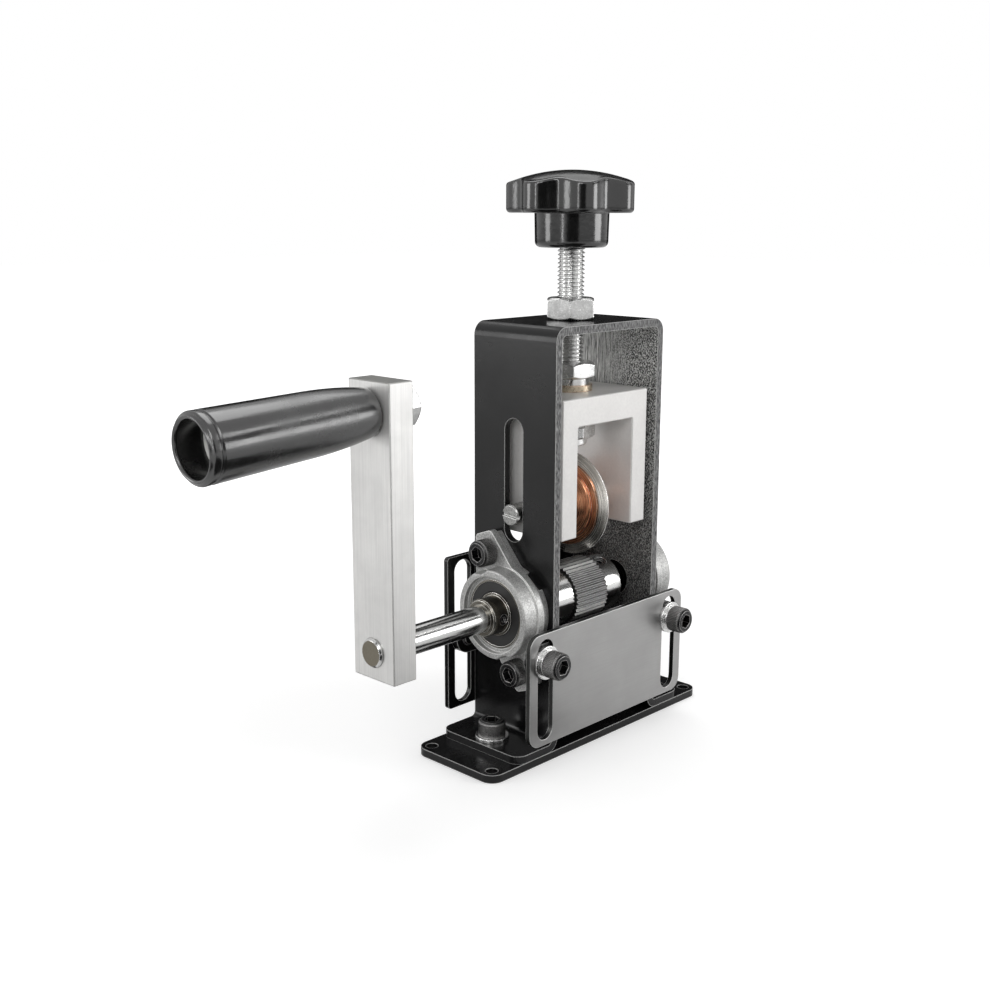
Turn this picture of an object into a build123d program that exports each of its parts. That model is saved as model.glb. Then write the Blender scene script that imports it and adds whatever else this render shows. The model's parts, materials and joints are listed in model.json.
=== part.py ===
from build123d import *
from math import atan2, cos, degrees, radians, sin, sqrt, tan
import os

# Manual wire stripping machine, in millimetres.
# X runs along the feed shaft with the crank at -X, the wire leaves at -Y and +Z is up.
# The origin is the middle of the base plate's underside.

# Clearances
turn_gap = 0.05         # radial, between a shaft and the hole it turns in
seat_gap = 0.02         # radial, between round pieces fixed in one another
face_gap = 0.05         # between flat faces that slide or turn on one another

# Base plate
base_length = 122.5
base_past_frame = 0.0   # beyond the frame's front and rear edges
base_thick = 3.0
base_corner_r = 5.0
base_hole_r = 2.25
base_hole_inset_x = 4.25
base_hole_inset_y = 4.5

# Frame, bent from one strip of sheet
sheet = 3.0
frame_width = 60.0
frame_depth = 40.0
frame_rise = 155.0
bend_inner_r = 2.0
foot_reach = 18.1       # foot beyond the side plate
foot_corner_r = 4.5
slot_width = 9.0        # slots that the blade axle rides in
slot_low = 79.0
slot_high = 124.5
shaft_hole_r = 7.0      # around the shaft, in the side plates
rod_hole_r = 5.5
ear_r = 6.0             # rounded end of the four bolting ears

# Hexagon socket screws and plain washers, size M6
screw_r = 3.0
screw_hole_r = 3.3
screw_head_r = 5.0
screw_head_height = 6.0
screw_head_edge = 0.9
screw_key = 5.0         # across flats
screw_key_depth = 3.2
screw_tip_chamfer = 0.6

# Foot bolts
foot_bolt_x = 41.0
foot_bolt_tip = 0.4     # tip above the base plate's underside
foot_washer_r = 6.25
foot_washer_thick = 1.4

# Feed shaft and crank
shaft_r = 5.0
shaft_y = -1.2
shaft_z = 54.2
shaft_stub = 1.0        # shaft beyond the right bearing's ring
shaft_chamfer = 0.6
arm_thick = 10.0
arm_width = 20.0
arm_length = 100.0
arm_tail = 9.5          # arm below the shaft's axis
arm_to_frame = 58.3     # from the left side plate to the arm's inner face
arm_chamfer = 0.3
spindle_from_end = 10.0 # grip spindle, from the arm's upper end, on its outer face

# Collars and feed roller
collar_r = 11.0
collar_width = 10.0
collar_chamfer = 0.6
collar_from_middle = 8.75
collar_screw_r = 2.5
collar_screw_length = 5.0
collar_screw_key = 2.5
collar_screw_angle = 112.0      # from +Y towards +Z
roller_r = 12.3
roller_teeth = 44
roller_tooth_depth = 0.75

# Flange bearing units
lug_spacing = 45.0
lug_tilt = 20.8         # lug line from upright, leaning back at the top
lug_end = 7.4           # flat end of a lug, from its screw's axis
lug_end_width = 8.1     # before its corners are rounded
lug_corner_r = 2.0
lug_clear_r = 7.1       # cut in the boss round each screw head
lug_hole_r = 3.4
lug_root_width = 29.3   # between the lugs' straight sides, at the shaft's axis
lug_blend_r = 3.0
lug_thick = 6.2
flange_r = 17.4
flange_low = 3.4        # lower layer of the flange, next to the side plate
flange_step = 1.0       # that layer is this much smaller all round
boss_ledge = 0.6        # flange beyond the boss
boss_front_r = 16.6
boss_height = 12.6
boss_edge_r = 0.6
mouth_r = 14.3
mouth_depth = 2.1
seat_back = 0.6         # back opening's edge, from the side plate
cut_past = 1.0          # a cut runs this far past the faces it opens
notch_width = 8.0
notch_depth = 2.6
notch_inner_r = 14.4
notch_angle = 60.0
bearing_middle = 7.0    # bearing's centre from the side plate
bearing_sphere_r = 13.3
outer_ring_width = 7.6
seal_recess_r = 12.0
seal_recess_depth = 1.0
seal_thick = 0.8
seal_gap = 0.3
outer_land_r = 11.0
inner_land_r = 8.0
inner_ring_r = 7.0
inner_ring_back = 4.0
inner_ring_front = 11.0
inner_ring_chamfer = 0.5
ball_r = 2.35
ball_pitch_r = 9.5
ball_count = 7
ball_inner_gap = 0.05
ball_outer_gap = 0.25
ring_screw_r = 2.0
ring_screw_length = 1.8
ring_screw_key = 2.0
ring_screw_from_end = 4.6
ring_screw_angles = (180.0, 60.0)       # from +Y towards +Z

# Grip
grip_droop = 3.1        # degrees below level
grip_length = 65.0
grip_arm_gap = 0.7
grip_arm_r = 8.0
grip_arm_edge_r = 1.2
grip_waist_at = 23.5    # where the swelling ends, from the arm's end
grip_waist_r = 10.3
grip_end_r = 11.1
grip_lip_r = 10.4
grip_lip_width = 2.6
grip_lip_edge_r = 1.2
grip_bore_r = 8.7
grip_bore_depth = 10.0
grip_well_r = 6.9
grip_well_depth = 26.0

# Spindle of the grip, size M8, and its nut
spindle_r = 4.0
spindle_hole_r = 4.5
spindle_head_r = 6.5
spindle_head_height = 8.0
spindle_key = 6.0
spindle_key_depth = 4.0
spindle_end = 1.8       # spindle beyond its nut
spindle_nut_flats = 13.0
spindle_nut_height = 6.0

# Carriage
carriage_width = 48.0
carriage_depth = 36.0
carriage_height = 51.0
carriage_leg = 8.5
carriage_bridge = 10.4
carriage_chamfer = 0.4
axle_z = 89.2
axle_above_legs = 8.2

# Blade, its hubs and its axle
axle_r = 4.0
axle_half_length = 32.0
axle_slot_width = 1.3
axle_slot_depth = 1.2
axle_slot_angle = 6.0   # from +Y towards +Z
axle_chamfer = 0.5
blade_r = 19.9
blade_thick = 3.0
blade_bevel_r = 16.6
blade_rim = 0.3
hub_flange_r = 16.0
hub_flange_thick = 0.5
hub_r = 13.4
hub_thick = 1.9         # with the flange
hub_edge_r = 1.3
spacer_r = 6.5
spacer_gap = 0.2        # from the turning hub

# Lead screw and what is on it
rod_r = 5.0
rod_low = 111.0
rod_high = 201.0
rod_chamfer = 0.8
nut_flats = 17.0
top_nut_height = 8.0
top_nut_turn = 40.9     # direction of a corner, from +X
upper_nut_height = 6.0
lower_nut_height = 5.0  # hexagon of the lock nut under the bridge
lock_collar_r = 6.8
lock_collar_height = 2.9
lock_collar_edge_r = 1.0
screw_washer_r = 8.5
copper_washer_thick = 2.2
lower_washer_thick = 2.2
split_washer_r = 7.2
split_washer_bore_r = 5.15
split_washer_height = 2.4
split_width = 1.0
split_angle = 224.0
upper_nut_turn = 49.5
lower_nut_turn = 14.0

# Knob
knob_low = 184.0
knob_hub_r = 13.2
knob_hub_top_r = 13.7
knob_hub_height = 12.2
knob_hub_edge_r = 2.0
knob_r = 23.9
knob_lobes = 7
knob_first_lobe = 33.3  # direction from +X
knob_flute_r = 14.5
knob_flute_depth = 3.6
knob_lobe_blend_r = 2.5
knob_side = 10.3
knob_dome = 4.8
knob_top_edge_r = 0.8
knob_low_edge_r = 1.5

# Guide plates and their bolts
guide_thick = 2.0
guide_gap = 0.1         # from the ears
guide_bolt_x = 36.3
guide_bolt_z = 40.0
guide_bolt_past_ear = 1.0
guide_washer_r = 6.15
guide_washer_thick = 1.2
spring_washer_r = 4.9
spring_washer_bore_r = 3.1
spring_washer_thick = 1.2
spring_washer_split = 0.6
front_plate_width = 88.8
front_plate_low = 8.4
front_plate_high = 50.6
front_plate_corner_r = 5.0
front_slot_width = 8.2
front_slot_margin = 2.05
rear_plate_width = 88.0
rear_plate_low = 12.0
rear_plate_high = 71.5
rear_plate_corner_r = 1.5
rear_slot_width = 8.4
rear_slot_margin = 1.8
wire_notch_width = 12.0
wire_notch_depth = 14.0
wire_notch_corner_r = 3.0

# Places that follow from the sizes
base_width = frame_depth + 2 * base_past_frame
side_out = frame_width / 2
face_y = frame_depth / 2
foot_top = base_thick + sheet
frame_top = base_thick + frame_rise
arm_in_x = -(side_out + arm_to_frame)
arm_out_x = arm_in_x - arm_thick
tilt = radians(lug_tilt)
lug_line = (0, sin(tilt), cos(tilt))
shaft_right = side_out + bearing_middle + inner_ring_front + shaft_stub
carriage_low = axle_z - axle_above_legs
carriage_top = carriage_low + carriage_height
bridge_low = carriage_top - carriage_bridge
hub_out_x = blade_thick / 2 + hub_thick
droop = radians(grip_droop)
grip_out = (-cos(droop), 0, -sin(droop))
both_sides = ((-1, "left"), (1, "right"))
pieces = []


# Shared fasteners
def socket_screw(length, shank=screw_r, head=screw_head_r, height=screw_head_height,
                 key=screw_key, key_depth=screw_key_depth):
    """Socket head screw, head standing on Z = 0 and shank pointing down."""
    with BuildPart() as screw:
        with BuildSketch():
            Circle(head)
        extrude(amount=height)
        fillet(screw.edges().sort_by(Axis.Z)[-1], screw_head_edge)
        with BuildSketch(Plane.XY.offset(height)):
            RegularPolygon(radius=key / 2, side_count=6, major_radius=False)
        extrude(amount=-key_depth, mode=Mode.SUBTRACT)
        with BuildSketch():
            Circle(shank)
        extrude(amount=-length)
        chamfer(screw.edges().sort_by(Axis.Z)[0], screw_tip_chamfer)
    return screw.part


def set_screw(shank, length, key):
    """Grub screw with its socket at Z = 0, pointing down."""
    with BuildPart() as screw:
        with BuildSketch():
            Circle(shank - seat_gap)
            RegularPolygon(radius=key / 2, side_count=6, major_radius=False, mode=Mode.SUBTRACT)
        extrude(amount=-length / 2)
        with BuildSketch(Plane.XY.offset(-length / 2)):
            Circle(shank - seat_gap)
        extrude(amount=-length / 2)
    return screw.part


def hex_nut(flats, height, bore):
    """Hexagon nut standing on Z = 0, with the corners turned down at both ends."""
    corner = flats / sqrt(3)
    turned = (corner - flats / 2) / sqrt(3)
    with BuildPart() as nut:
        with BuildSketch():
            RegularPolygon(radius=flats / 2, side_count=6, major_radius=False)
            Circle(bore, mode=Mode.SUBTRACT)
        extrude(amount=height)
        with BuildSketch(Plane.XZ):
            with BuildLine():
                Polyline(
                    (0, 0), (flats / 2, 0), (corner, turned), (corner, height - turned),
                    (flats / 2, height), (0, height), close=True,
                )
            make_face()
        revolve(axis=Axis.Z, mode=Mode.INTERSECT)
    return nut.part


def washer(outer, bore, height):
    """Flat washer standing on Z = 0."""
    with BuildPart() as ring:
        with BuildSketch():
            Circle(outer)
            Circle(bore, mode=Mode.SUBTRACT)
        extrude(amount=height)
    return ring.part


def split_ring(outer, bore, height, width):
    """Split spring washer standing on Z = 0, with its slanted gap at +X."""
    with BuildPart() as ring:
        add(washer(outer, bore, height))
        with BuildSketch(Plane.YZ):
            with BuildLine():
                Polyline((-width, 0), (0, 0), (width, height), (0, height), close=True)
            make_face()
        extrude(amount=outer * 2, mode=Mode.SUBTRACT)
    return ring.part


def radial_plane(x, angle, radius):
    """Plane that faces away from the shaft's axis at an angle from +Y towards +Z."""
    outward = (0, cos(radians(angle)), sin(radians(angle)))
    at = (x, shaft_y + radius * outward[1], shaft_z + radius * outward[2])
    return Plane(origin=at, x_dir=(1, 0, 0), z_dir=outward)


def finish(piece, label):
    """Name a finished piece and keep it for writing."""
    piece.part.label = label
    pieces.append(piece)


# Base plate
with BuildPart() as base_plate:
    with BuildSketch():
        RectangleRounded(base_length, base_width, base_corner_r)
        with GridLocations(base_length - 2 * base_hole_inset_x, base_width - 2 * base_hole_inset_y, 2, 2):
            Circle(base_hole_r, mode=Mode.SUBTRACT)
        with GridLocations(2 * foot_bolt_x, 0, 2, 1):
            Circle(screw_r + seat_gap, mode=Mode.SUBTRACT)
    extrude(amount=base_thick)
finish(base_plate, "base_plate")

# Frame
foot_end = side_out + foot_reach
with BuildPart() as frame:
    with BuildSketch(Plane.XZ):
        with BuildLine():
            FilletPolyline(
                (-foot_end, foot_top), (-side_out, foot_top), (-side_out, frame_top),
                (side_out, frame_top), (side_out, foot_top), (foot_end, foot_top),
                radius=[bend_inner_r, bend_inner_r + sheet, bend_inner_r + sheet, bend_inner_r],
            )
            offset(amount=sheet, side=Side.RIGHT)
        make_face()
    extrude(amount=face_y, both=True)
    foot_corners = frame.edges().filter_by(Axis.Z).filter_by(lambda e: abs(e.center().X) > foot_end - 1)
    fillet(foot_corners, foot_corner_r)
    # Ears for the guide plates' bolts, two at the front and two at the rear
    for outside in (face_y, sheet - face_y):
        with BuildSketch(Plane.XZ.offset(outside)):
            for side in (-1, 1):
                with Locations((side * (side_out + guide_bolt_x) / 2, guide_bolt_z)):
                    Rectangle(guide_bolt_x - side_out, 2 * ear_r)
                with Locations((side * guide_bolt_x, guide_bolt_z)):
                    Circle(ear_r)
        extrude(amount=-sheet)
    with BuildSketch(Plane.XZ):
        with Locations((-guide_bolt_x, guide_bolt_z), (guide_bolt_x, guide_bolt_z)):
            Circle(screw_r + seat_gap)
    extrude(amount=frame_depth, both=True, mode=Mode.SUBTRACT)
    # Holes through both side plates
    with BuildSketch(Plane.YZ):
        with Locations((0, (slot_low + slot_high) / 2)):
            SlotOverall(slot_high - slot_low, slot_width, rotation=90)
        with Locations((shaft_y, shaft_z)):
            Circle(shaft_hole_r)
        for end in (-1, 1):
            reach = end * lug_spacing / 2
            with Locations((shaft_y + reach * lug_line[1], shaft_z + reach * lug_line[2])):
                Circle(screw_r + seat_gap)
    extrude(amount=frame_width, both=True, mode=Mode.SUBTRACT)
    # Holes through the top and the feet
    with BuildSketch(Plane.XY.offset(frame_top)):
        Circle(rod_hole_r)
    extrude(amount=-2 * sheet, mode=Mode.SUBTRACT)
    with BuildSketch(Plane.XY.offset(base_thick)):
        with GridLocations(2 * foot_bolt_x, 0, 2, 1):
            Circle(screw_hole_r)
    extrude(amount=2 * sheet, mode=Mode.SUBTRACT)
finish(frame, "frame")

# Foot bolts and washers
with BuildPart() as foot_washers:
    with Locations((-foot_bolt_x, 0, foot_top), (foot_bolt_x, 0, foot_top)):
        add(washer(foot_washer_r, screw_hole_r, foot_washer_thick))
finish(foot_washers, "foot_washers")

with BuildPart() as foot_bolts:
    foot_head = foot_top + foot_washer_thick
    with Locations((-foot_bolt_x, 0, foot_head), (foot_bolt_x, 0, foot_head)):
        add(socket_screw(foot_head - foot_bolt_tip))
finish(foot_bolts, "foot_bolts")


# Flange bearing units
def flange_outline(smaller):
    """Disc with two tapering lugs along X, smaller all round by an amount."""
    lug_reach = lug_spacing / 2 + lug_end
    with BuildSketch() as outline:
        with BuildLine():
            Polyline(
                (lug_reach, lug_end_width / 2), (0, lug_root_width / 2), (-lug_reach, lug_end_width / 2),
                (-lug_reach, -lug_end_width / 2), (0, -lug_root_width / 2), (lug_reach, -lug_end_width / 2),
                close=True,
            )
        make_face()
        fillet(outline.vertices().group_by(Axis.X)[0], lug_corner_r)
        fillet(outline.vertices().group_by(Axis.X)[-1], lug_corner_r)
        Circle(flange_r)
        fillet(outline.vertices().sort_by_distance((0, 0, 0))[:4], lug_blend_r)
        offset(amount=-smaller)
    return outline.sketch


def along_shaft(seat):
    """Plane through the shaft's axis, its X outward and its Y away from the axis."""
    return Plane(origin=seat.origin, x_dir=seat.z_dir, z_dir=seat.y_dir)


boss_root_r = flange_r - boss_ledge
boss_taper = degrees(atan2(boss_root_r - boss_front_r, boss_height - lug_thick))
seat_r = bearing_sphere_r + seat_gap
ring_half = outer_ring_width / 2
ring_face_r = sqrt(bearing_sphere_r ** 2 - ring_half ** 2)
mouth_floor = boss_height - mouth_depth
past_front = boss_height + cut_past
seat_mouth_r = sqrt(seat_r ** 2 - (mouth_floor - bearing_middle) ** 2)
seat_back_r = sqrt(seat_r ** 2 - (bearing_middle - seat_back) ** 2)
groove_out = ball_r + ball_outer_gap
groove_in = ball_r + ball_inner_gap
chord_out = sqrt(groove_out ** 2 - (outer_land_r - ball_pitch_r) ** 2)
chord_in = sqrt(groove_in ** 2 - (ball_pitch_r - inner_land_r) ** 2)

for side, hand in both_sides:
    seat = Plane(origin=(side * side_out, shaft_y, shaft_z), x_dir=lug_line, z_dir=(side, 0, 0))
    section = along_shaft(seat)
    shaft_line = Axis(seat.origin, seat.z_dir)

    # Cast housing
    with BuildPart() as housing:
        with BuildSketch(seat):
            add(flange_outline(flange_step))
        extrude(amount=flange_low)
        with BuildSketch(seat.offset(flange_low)):
            add(flange_outline(0))
        extrude(amount=lug_thick - flange_low)
        with BuildSketch(seat.offset(lug_thick)):
            Circle(boss_root_r)
        extrude(amount=boss_height - lug_thick, taper=boss_taper)
        with BuildSketch(seat.offset(lug_thick)):
            with Locations((lug_spacing / 2, 0), (-lug_spacing / 2, 0)):
                Circle(lug_clear_r)
        extrude(amount=boss_height, mode=Mode.SUBTRACT)
        front_ring = housing.faces().sort_by(shaft_line)[-1]
        fillet(front_ring.outer_wire().edges(), boss_edge_r)
        with BuildSketch(section):
            with BuildLine():
                Polyline((mouth_floor, seat_mouth_r), (mouth_floor, mouth_r), (past_front, mouth_r),
                         (past_front, 0), (-cut_past, 0), (-cut_past, seat_back_r), (seat_back, seat_back_r))
                ThreePointArc((seat_back, seat_back_r), (bearing_middle, seat_r), (mouth_floor, seat_mouth_r))
            make_face()
        revolve(axis=shaft_line, mode=Mode.SUBTRACT)
        with BuildSketch(seat.offset(lug_thick)):
            with Locations((lug_spacing / 2, 0), (-lug_spacing / 2, 0)):
                Circle(lug_hole_r)
        extrude(amount=-2 * lug_thick, mode=Mode.SUBTRACT)
        with BuildSketch(seat):
            with PolarLocations(notch_inner_r + notch_width / 2, 1, start_angle=side * notch_angle):
                Rectangle(notch_width, notch_width)
        extrude(amount=notch_depth, mode=Mode.SUBTRACT)
    finish(housing, f"bearing_housing_{hand}")

    # Outer ring with a ball groove and a recess for each seal
    recess_floor = ring_half - seal_recess_depth
    with BuildPart() as outer_ring:
        with BuildSketch(Plane(origin=section.origin + section.x_dir * bearing_middle,
                               x_dir=section.x_dir, z_dir=section.z_dir)):
            with BuildLine():
                ThreePointArc((-ring_half, ring_face_r), (0, bearing_sphere_r), (ring_half, ring_face_r))
                Polyline((ring_half, ring_face_r), (ring_half, seal_recess_r),
                         (recess_floor, seal_recess_r), (recess_floor, outer_land_r),
                         (chord_out, outer_land_r))
                ThreePointArc((chord_out, outer_land_r), (0, ball_pitch_r + groove_out),
                              (-chord_out, outer_land_r))
                Polyline((-chord_out, outer_land_r), (-recess_floor, outer_land_r),
                         (-recess_floor, seal_recess_r), (-ring_half, seal_recess_r),
                         (-ring_half, ring_face_r))
            make_face()
        revolve(axis=shaft_line)
    finish(outer_ring, f"bearing_outer_ring_{hand}")

    # Seals, one at each face
    with BuildPart() as seals:
        for face in (recess_floor, -recess_floor - seal_thick):
            with BuildSketch(seat.offset(bearing_middle + face)):
                Circle(seal_recess_r - seat_gap)
                Circle(inner_land_r + seal_gap, mode=Mode.SUBTRACT)
            extrude(amount=seal_thick)
    finish(seals, f"bearing_seals_{hand}")

    # Balls
    with BuildPart() as balls:
        with Locations(seat.offset(bearing_middle)):
            with PolarLocations(ball_pitch_r, ball_count):
                Sphere(ball_r)
    finish(balls, f"bearing_balls_{hand}")

    # Inner ring, longer at the front where it is clamped to the shaft
    with BuildPart() as inner_ring:
        with BuildSketch(Plane(origin=section.origin + section.x_dir * bearing_middle,
                               x_dir=section.x_dir, z_dir=section.z_dir)):
            with BuildLine():
                Polyline((chord_in, inner_land_r), (ring_half, inner_land_r), (ring_half, inner_ring_r),
                         (inner_ring_front - inner_ring_chamfer, inner_ring_r),
                         (inner_ring_front, inner_ring_r - inner_ring_chamfer),
                         (inner_ring_front, shaft_r + seat_gap), (-inner_ring_back, shaft_r + seat_gap),
                         (-inner_ring_back, inner_land_r), (-chord_in, inner_land_r))
                ThreePointArc((-chord_in, inner_land_r), (0, ball_pitch_r - groove_in),
                              (chord_in, inner_land_r))
            make_face()
        revolve(axis=shaft_line)
        ring_screw_x = side * (side_out + bearing_middle + inner_ring_front - ring_screw_from_end)
        for angle in ring_screw_angles:
            with BuildSketch(radial_plane(ring_screw_x, angle, 0)):
                Circle(ring_screw_r)
            extrude(amount=2 * inner_ring_r, mode=Mode.SUBTRACT)
    finish(inner_ring, f"bearing_inner_ring_{hand}")

with BuildPart() as bearing_screws:
    for side, hand in both_sides:
        for angle in ring_screw_angles:
            ring_screw_x = side * (side_out + bearing_middle + inner_ring_front - ring_screw_from_end)
            outside = shaft_r + seat_gap + ring_screw_length
            with Locations(radial_plane(ring_screw_x, angle, outside)):
                add(set_screw(ring_screw_r, ring_screw_length, ring_screw_key))
finish(bearing_screws, "bearing_set_screws")

with BuildPart() as bearing_bolts:
    for side, hand in both_sides:
        for end in (-1, 1):
            reach = end * lug_spacing / 2
            at = (side * (side_out + lug_thick), shaft_y + reach * lug_line[1], shaft_z + reach * lug_line[2])
            with Locations(Plane(origin=at, x_dir=lug_line, z_dir=(side, 0, 0))):
                add(socket_screw(lug_thick + sheet))
finish(bearing_bolts, "bearing_bolts")

# Feed shaft
with BuildPart() as main_shaft:
    with BuildSketch(Plane.YZ.offset(arm_out_x)):
        with Locations((shaft_y, shaft_z)):
            Circle(shaft_r)
    extrude(amount=shaft_right - arm_out_x)
    chamfer(main_shaft.edges().filter_by(GeomType.CIRCLE), shaft_chamfer)
finish(main_shaft, "main_shaft")

# Crank arm
arm_low = shaft_z - arm_tail
spindle_z = arm_low + arm_length - spindle_from_end
with BuildPart() as crank_arm:
    with BuildSketch(Plane.YZ.offset(arm_out_x)):
        with Locations((shaft_y, arm_low + arm_length / 2)):
            Rectangle(arm_width, arm_length)
    extrude(amount=arm_thick)
    chamfer(crank_arm.edges(), arm_chamfer)
    with BuildSketch(Plane.YZ.offset(arm_out_x)):
        with Locations((shaft_y, shaft_z)):
            Circle(shaft_r + seat_gap)
        with Locations((shaft_y, spindle_z + arm_thick / 2 * tan(radians(grip_droop)))):
            Circle(spindle_hole_r)
    extrude(amount=arm_thick, mode=Mode.SUBTRACT)
finish(crank_arm, "crank_arm")

# Feed roller with its teeth
with BuildPart() as feed_roller:
    with BuildSketch(Plane.YZ):
        with Locations((shaft_y, shaft_z)):
            Circle(roller_r)
            Circle(shaft_r + seat_gap, mode=Mode.SUBTRACT)
            with PolarLocations(roller_r, roller_teeth):
                Rectangle(roller_tooth_depth * sqrt(2), roller_tooth_depth * sqrt(2), rotation=45,
                          mode=Mode.SUBTRACT)
    extrude(amount=collar_from_middle - face_gap, both=True)
finish(feed_roller, "feed_roller")

# Collars that hold the roller in the middle
for side, hand in both_sides:
    with BuildPart() as collar:
        with BuildSketch(Plane.YZ.offset(side * collar_from_middle)):
            with Locations((shaft_y, shaft_z)):
                Circle(collar_r)
                Circle(shaft_r + seat_gap, mode=Mode.SUBTRACT)
        extrude(amount=side * collar_width)
        rims = collar.edges().filter_by(GeomType.CIRCLE).filter_by(lambda e: e.radius > shaft_r + 1)
        chamfer(rims, collar_chamfer)
        with BuildSketch(radial_plane(side * (collar_from_middle + collar_width / 2), collar_screw_angle, 0)):
            Circle(collar_screw_r)
        extrude(amount=2 * collar_r, mode=Mode.SUBTRACT)
    finish(collar, f"collar_{hand}")

with BuildPart() as collar_screws:
    for side, hand in both_sides:
        middle = side * (collar_from_middle + collar_width / 2)
        with Locations(radial_plane(middle, collar_screw_angle, shaft_r + seat_gap + collar_screw_length)):
            add(set_screw(collar_screw_r, collar_screw_length, collar_screw_key))
finish(collar_screws, "collar_set_screws")

# Grip, turned about the drooping spindle
grip_plane = Plane(origin=(arm_out_x, shaft_y, spindle_z), x_dir=grip_out, z_dir=(0, 1, 0))
grip_line = Axis(grip_plane.origin, grip_plane.x_dir)
grip_end = grip_arm_gap + grip_length
well_floor = grip_end - grip_well_depth
with BuildPart() as grip:
    with BuildSketch(grip_plane) as half_section:
        with BuildLine():
            waist = Line((grip_arm_gap + grip_waist_at, grip_waist_r),
                         (grip_end - grip_lip_width, grip_end_r))
            Line(waist @ 1, (grip_end, grip_lip_r))
            TangentArc(waist @ 0, (grip_arm_gap, grip_arm_r), tangent=-(waist % 0))
            Polyline((grip_arm_gap, grip_arm_r), (grip_arm_gap, spindle_r + turn_gap),
                     (well_floor, spindle_r + turn_gap), (well_floor, grip_well_r),
                     (grip_end - grip_bore_depth, grip_well_r), (grip_end - grip_bore_depth, grip_bore_r),
                     (grip_end, grip_bore_r), (grip_end, grip_lip_r))
        make_face()
        arm_end_corner = half_section.vertices().sort_by_distance((grip_arm_gap, grip_arm_r, 0))[0]
        fillet(arm_end_corner, grip_arm_edge_r)
    revolve(axis=grip_line)
    lips = grip.edges().filter_by(GeomType.CIRCLE).sort_by(grip_line)[-2:]
    fillet(lips, min(grip_lip_edge_r, (grip_lip_r - grip_bore_r) / 2 - seat_gap))
finish(grip, "grip")

# Spindle and its nut
head_at = well_floor + seal_gap
nut_tilt_gap = spindle_nut_flats / sqrt(3) * sin(droop) + seat_gap
nut_face = arm_thick / cos(droop) + nut_tilt_gap
spindle_back = nut_face + spindle_nut_height + spindle_end
with BuildPart() as grip_spindle:
    with Locations(Plane(origin=grip_plane.from_local_coords((head_at, 0)), x_dir=(0, 1, 0), z_dir=grip_out)):
        add(socket_screw(head_at + spindle_back, spindle_r, spindle_head_r, spindle_head_height,
                         spindle_key, spindle_key_depth))
finish(grip_spindle, "grip_spindle")

with BuildPart() as spindle_nut:
    with Locations(Plane(origin=grip_plane.from_local_coords((-nut_face - spindle_nut_height, 0)),
                         x_dir=(0, 1, 0), z_dir=grip_out)):
        add(hex_nut(spindle_nut_flats, spindle_nut_height, spindle_r + seat_gap))
finish(spindle_nut, "spindle_nut")

# Carriage
with BuildPart() as carriage:
    with BuildSketch(Plane.XZ):
        with Locations((0, (carriage_low + carriage_top) / 2)):
            Rectangle(carriage_width, carriage_height)
        with Locations((0, (carriage_low + bridge_low) / 2)):
            Rectangle(carriage_width - 2 * carriage_leg, bridge_low - carriage_low, mode=Mode.SUBTRACT)
    extrude(amount=carriage_depth / 2, both=True)
    chamfer(carriage.edges(), carriage_chamfer)
    with BuildSketch(Plane.YZ):
        with Locations((0, axle_z)):
            Circle(axle_r + seat_gap)
    extrude(amount=carriage_width, both=True, mode=Mode.SUBTRACT)
    with BuildSketch(Plane.XY.offset(carriage_top)):
        Circle(rod_r + turn_gap)
    extrude(amount=-2 * carriage_bridge, mode=Mode.SUBTRACT)
finish(carriage, "carriage")

# Blade axle, slotted for a screwdriver at both ends
with BuildPart() as blade_axle:
    with BuildSketch(Plane.YZ):
        with Locations((0, axle_z)):
            Circle(axle_r)
    extrude(amount=axle_half_length, both=True)
    chamfer(blade_axle.edges().filter_by(GeomType.CIRCLE), axle_chamfer)
    for side, hand in both_sides:
        with BuildSketch(Plane.YZ.offset(side * axle_half_length)):
            with Locations((0, axle_z)):
                Rectangle(3 * axle_r, axle_slot_width, rotation=axle_slot_angle)
        extrude(amount=-side * axle_slot_depth, mode=Mode.SUBTRACT)
finish(blade_axle, "blade_axle")

# Spacers, from the carriage's legs to the hubs
for side, hand in both_sides:
    leg_face = carriage_width / 2 - carriage_leg
    with BuildPart() as spacer:
        with BuildSketch(Plane.YZ.offset(side * (hub_out_x + spacer_gap))):
            with Locations((0, axle_z)):
                Circle(spacer_r)
                Circle(axle_r + seat_gap, mode=Mode.SUBTRACT)
        extrude(amount=side * (leg_face - face_gap - hub_out_x - spacer_gap))
    finish(spacer, f"spacer_{hand}")

# Blade with its two-sided bevel
axle_line = Axis((0, 0, axle_z), (1, 0, 0))
axle_section = Plane(origin=(0, 0, axle_z), x_dir=(1, 0, 0), z_dir=(0, -1, 0))
with BuildPart() as blade:
    with BuildSketch(axle_section):
        with BuildLine():
            Polyline((-blade_thick / 2, axle_r + turn_gap), (-blade_thick / 2, blade_bevel_r),
                     (-blade_rim / 2, blade_r), (blade_rim / 2, blade_r), (blade_thick / 2, blade_bevel_r),
                     (blade_thick / 2, axle_r + turn_gap), close=True)
        make_face()
    revolve(axis=axle_line)
finish(blade, "blade")

# Copper hubs beside the blade
for side, hand in both_sides:
    hub_in = blade_thick / 2
    with BuildPart() as hub:
        with BuildSketch(axle_section) as hub_section:
            with BuildLine():
                Polyline((side * hub_in, axle_r + turn_gap), (side * hub_in, hub_flange_r),
                         (side * (hub_in + hub_flange_thick), hub_flange_r),
                         (side * (hub_in + hub_flange_thick), hub_r), (side * hub_out_x, hub_r),
                         (side * hub_out_x, axle_r + turn_gap), close=True)
            make_face()
            outer_corner = hub_section.vertices().sort_by_distance((side * hub_out_x, hub_r, 0))[0]
            fillet(outer_corner, hub_edge_r)
        revolve(axis=axle_line)
    finish(hub, f"copper_hub_{hand}")

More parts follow.
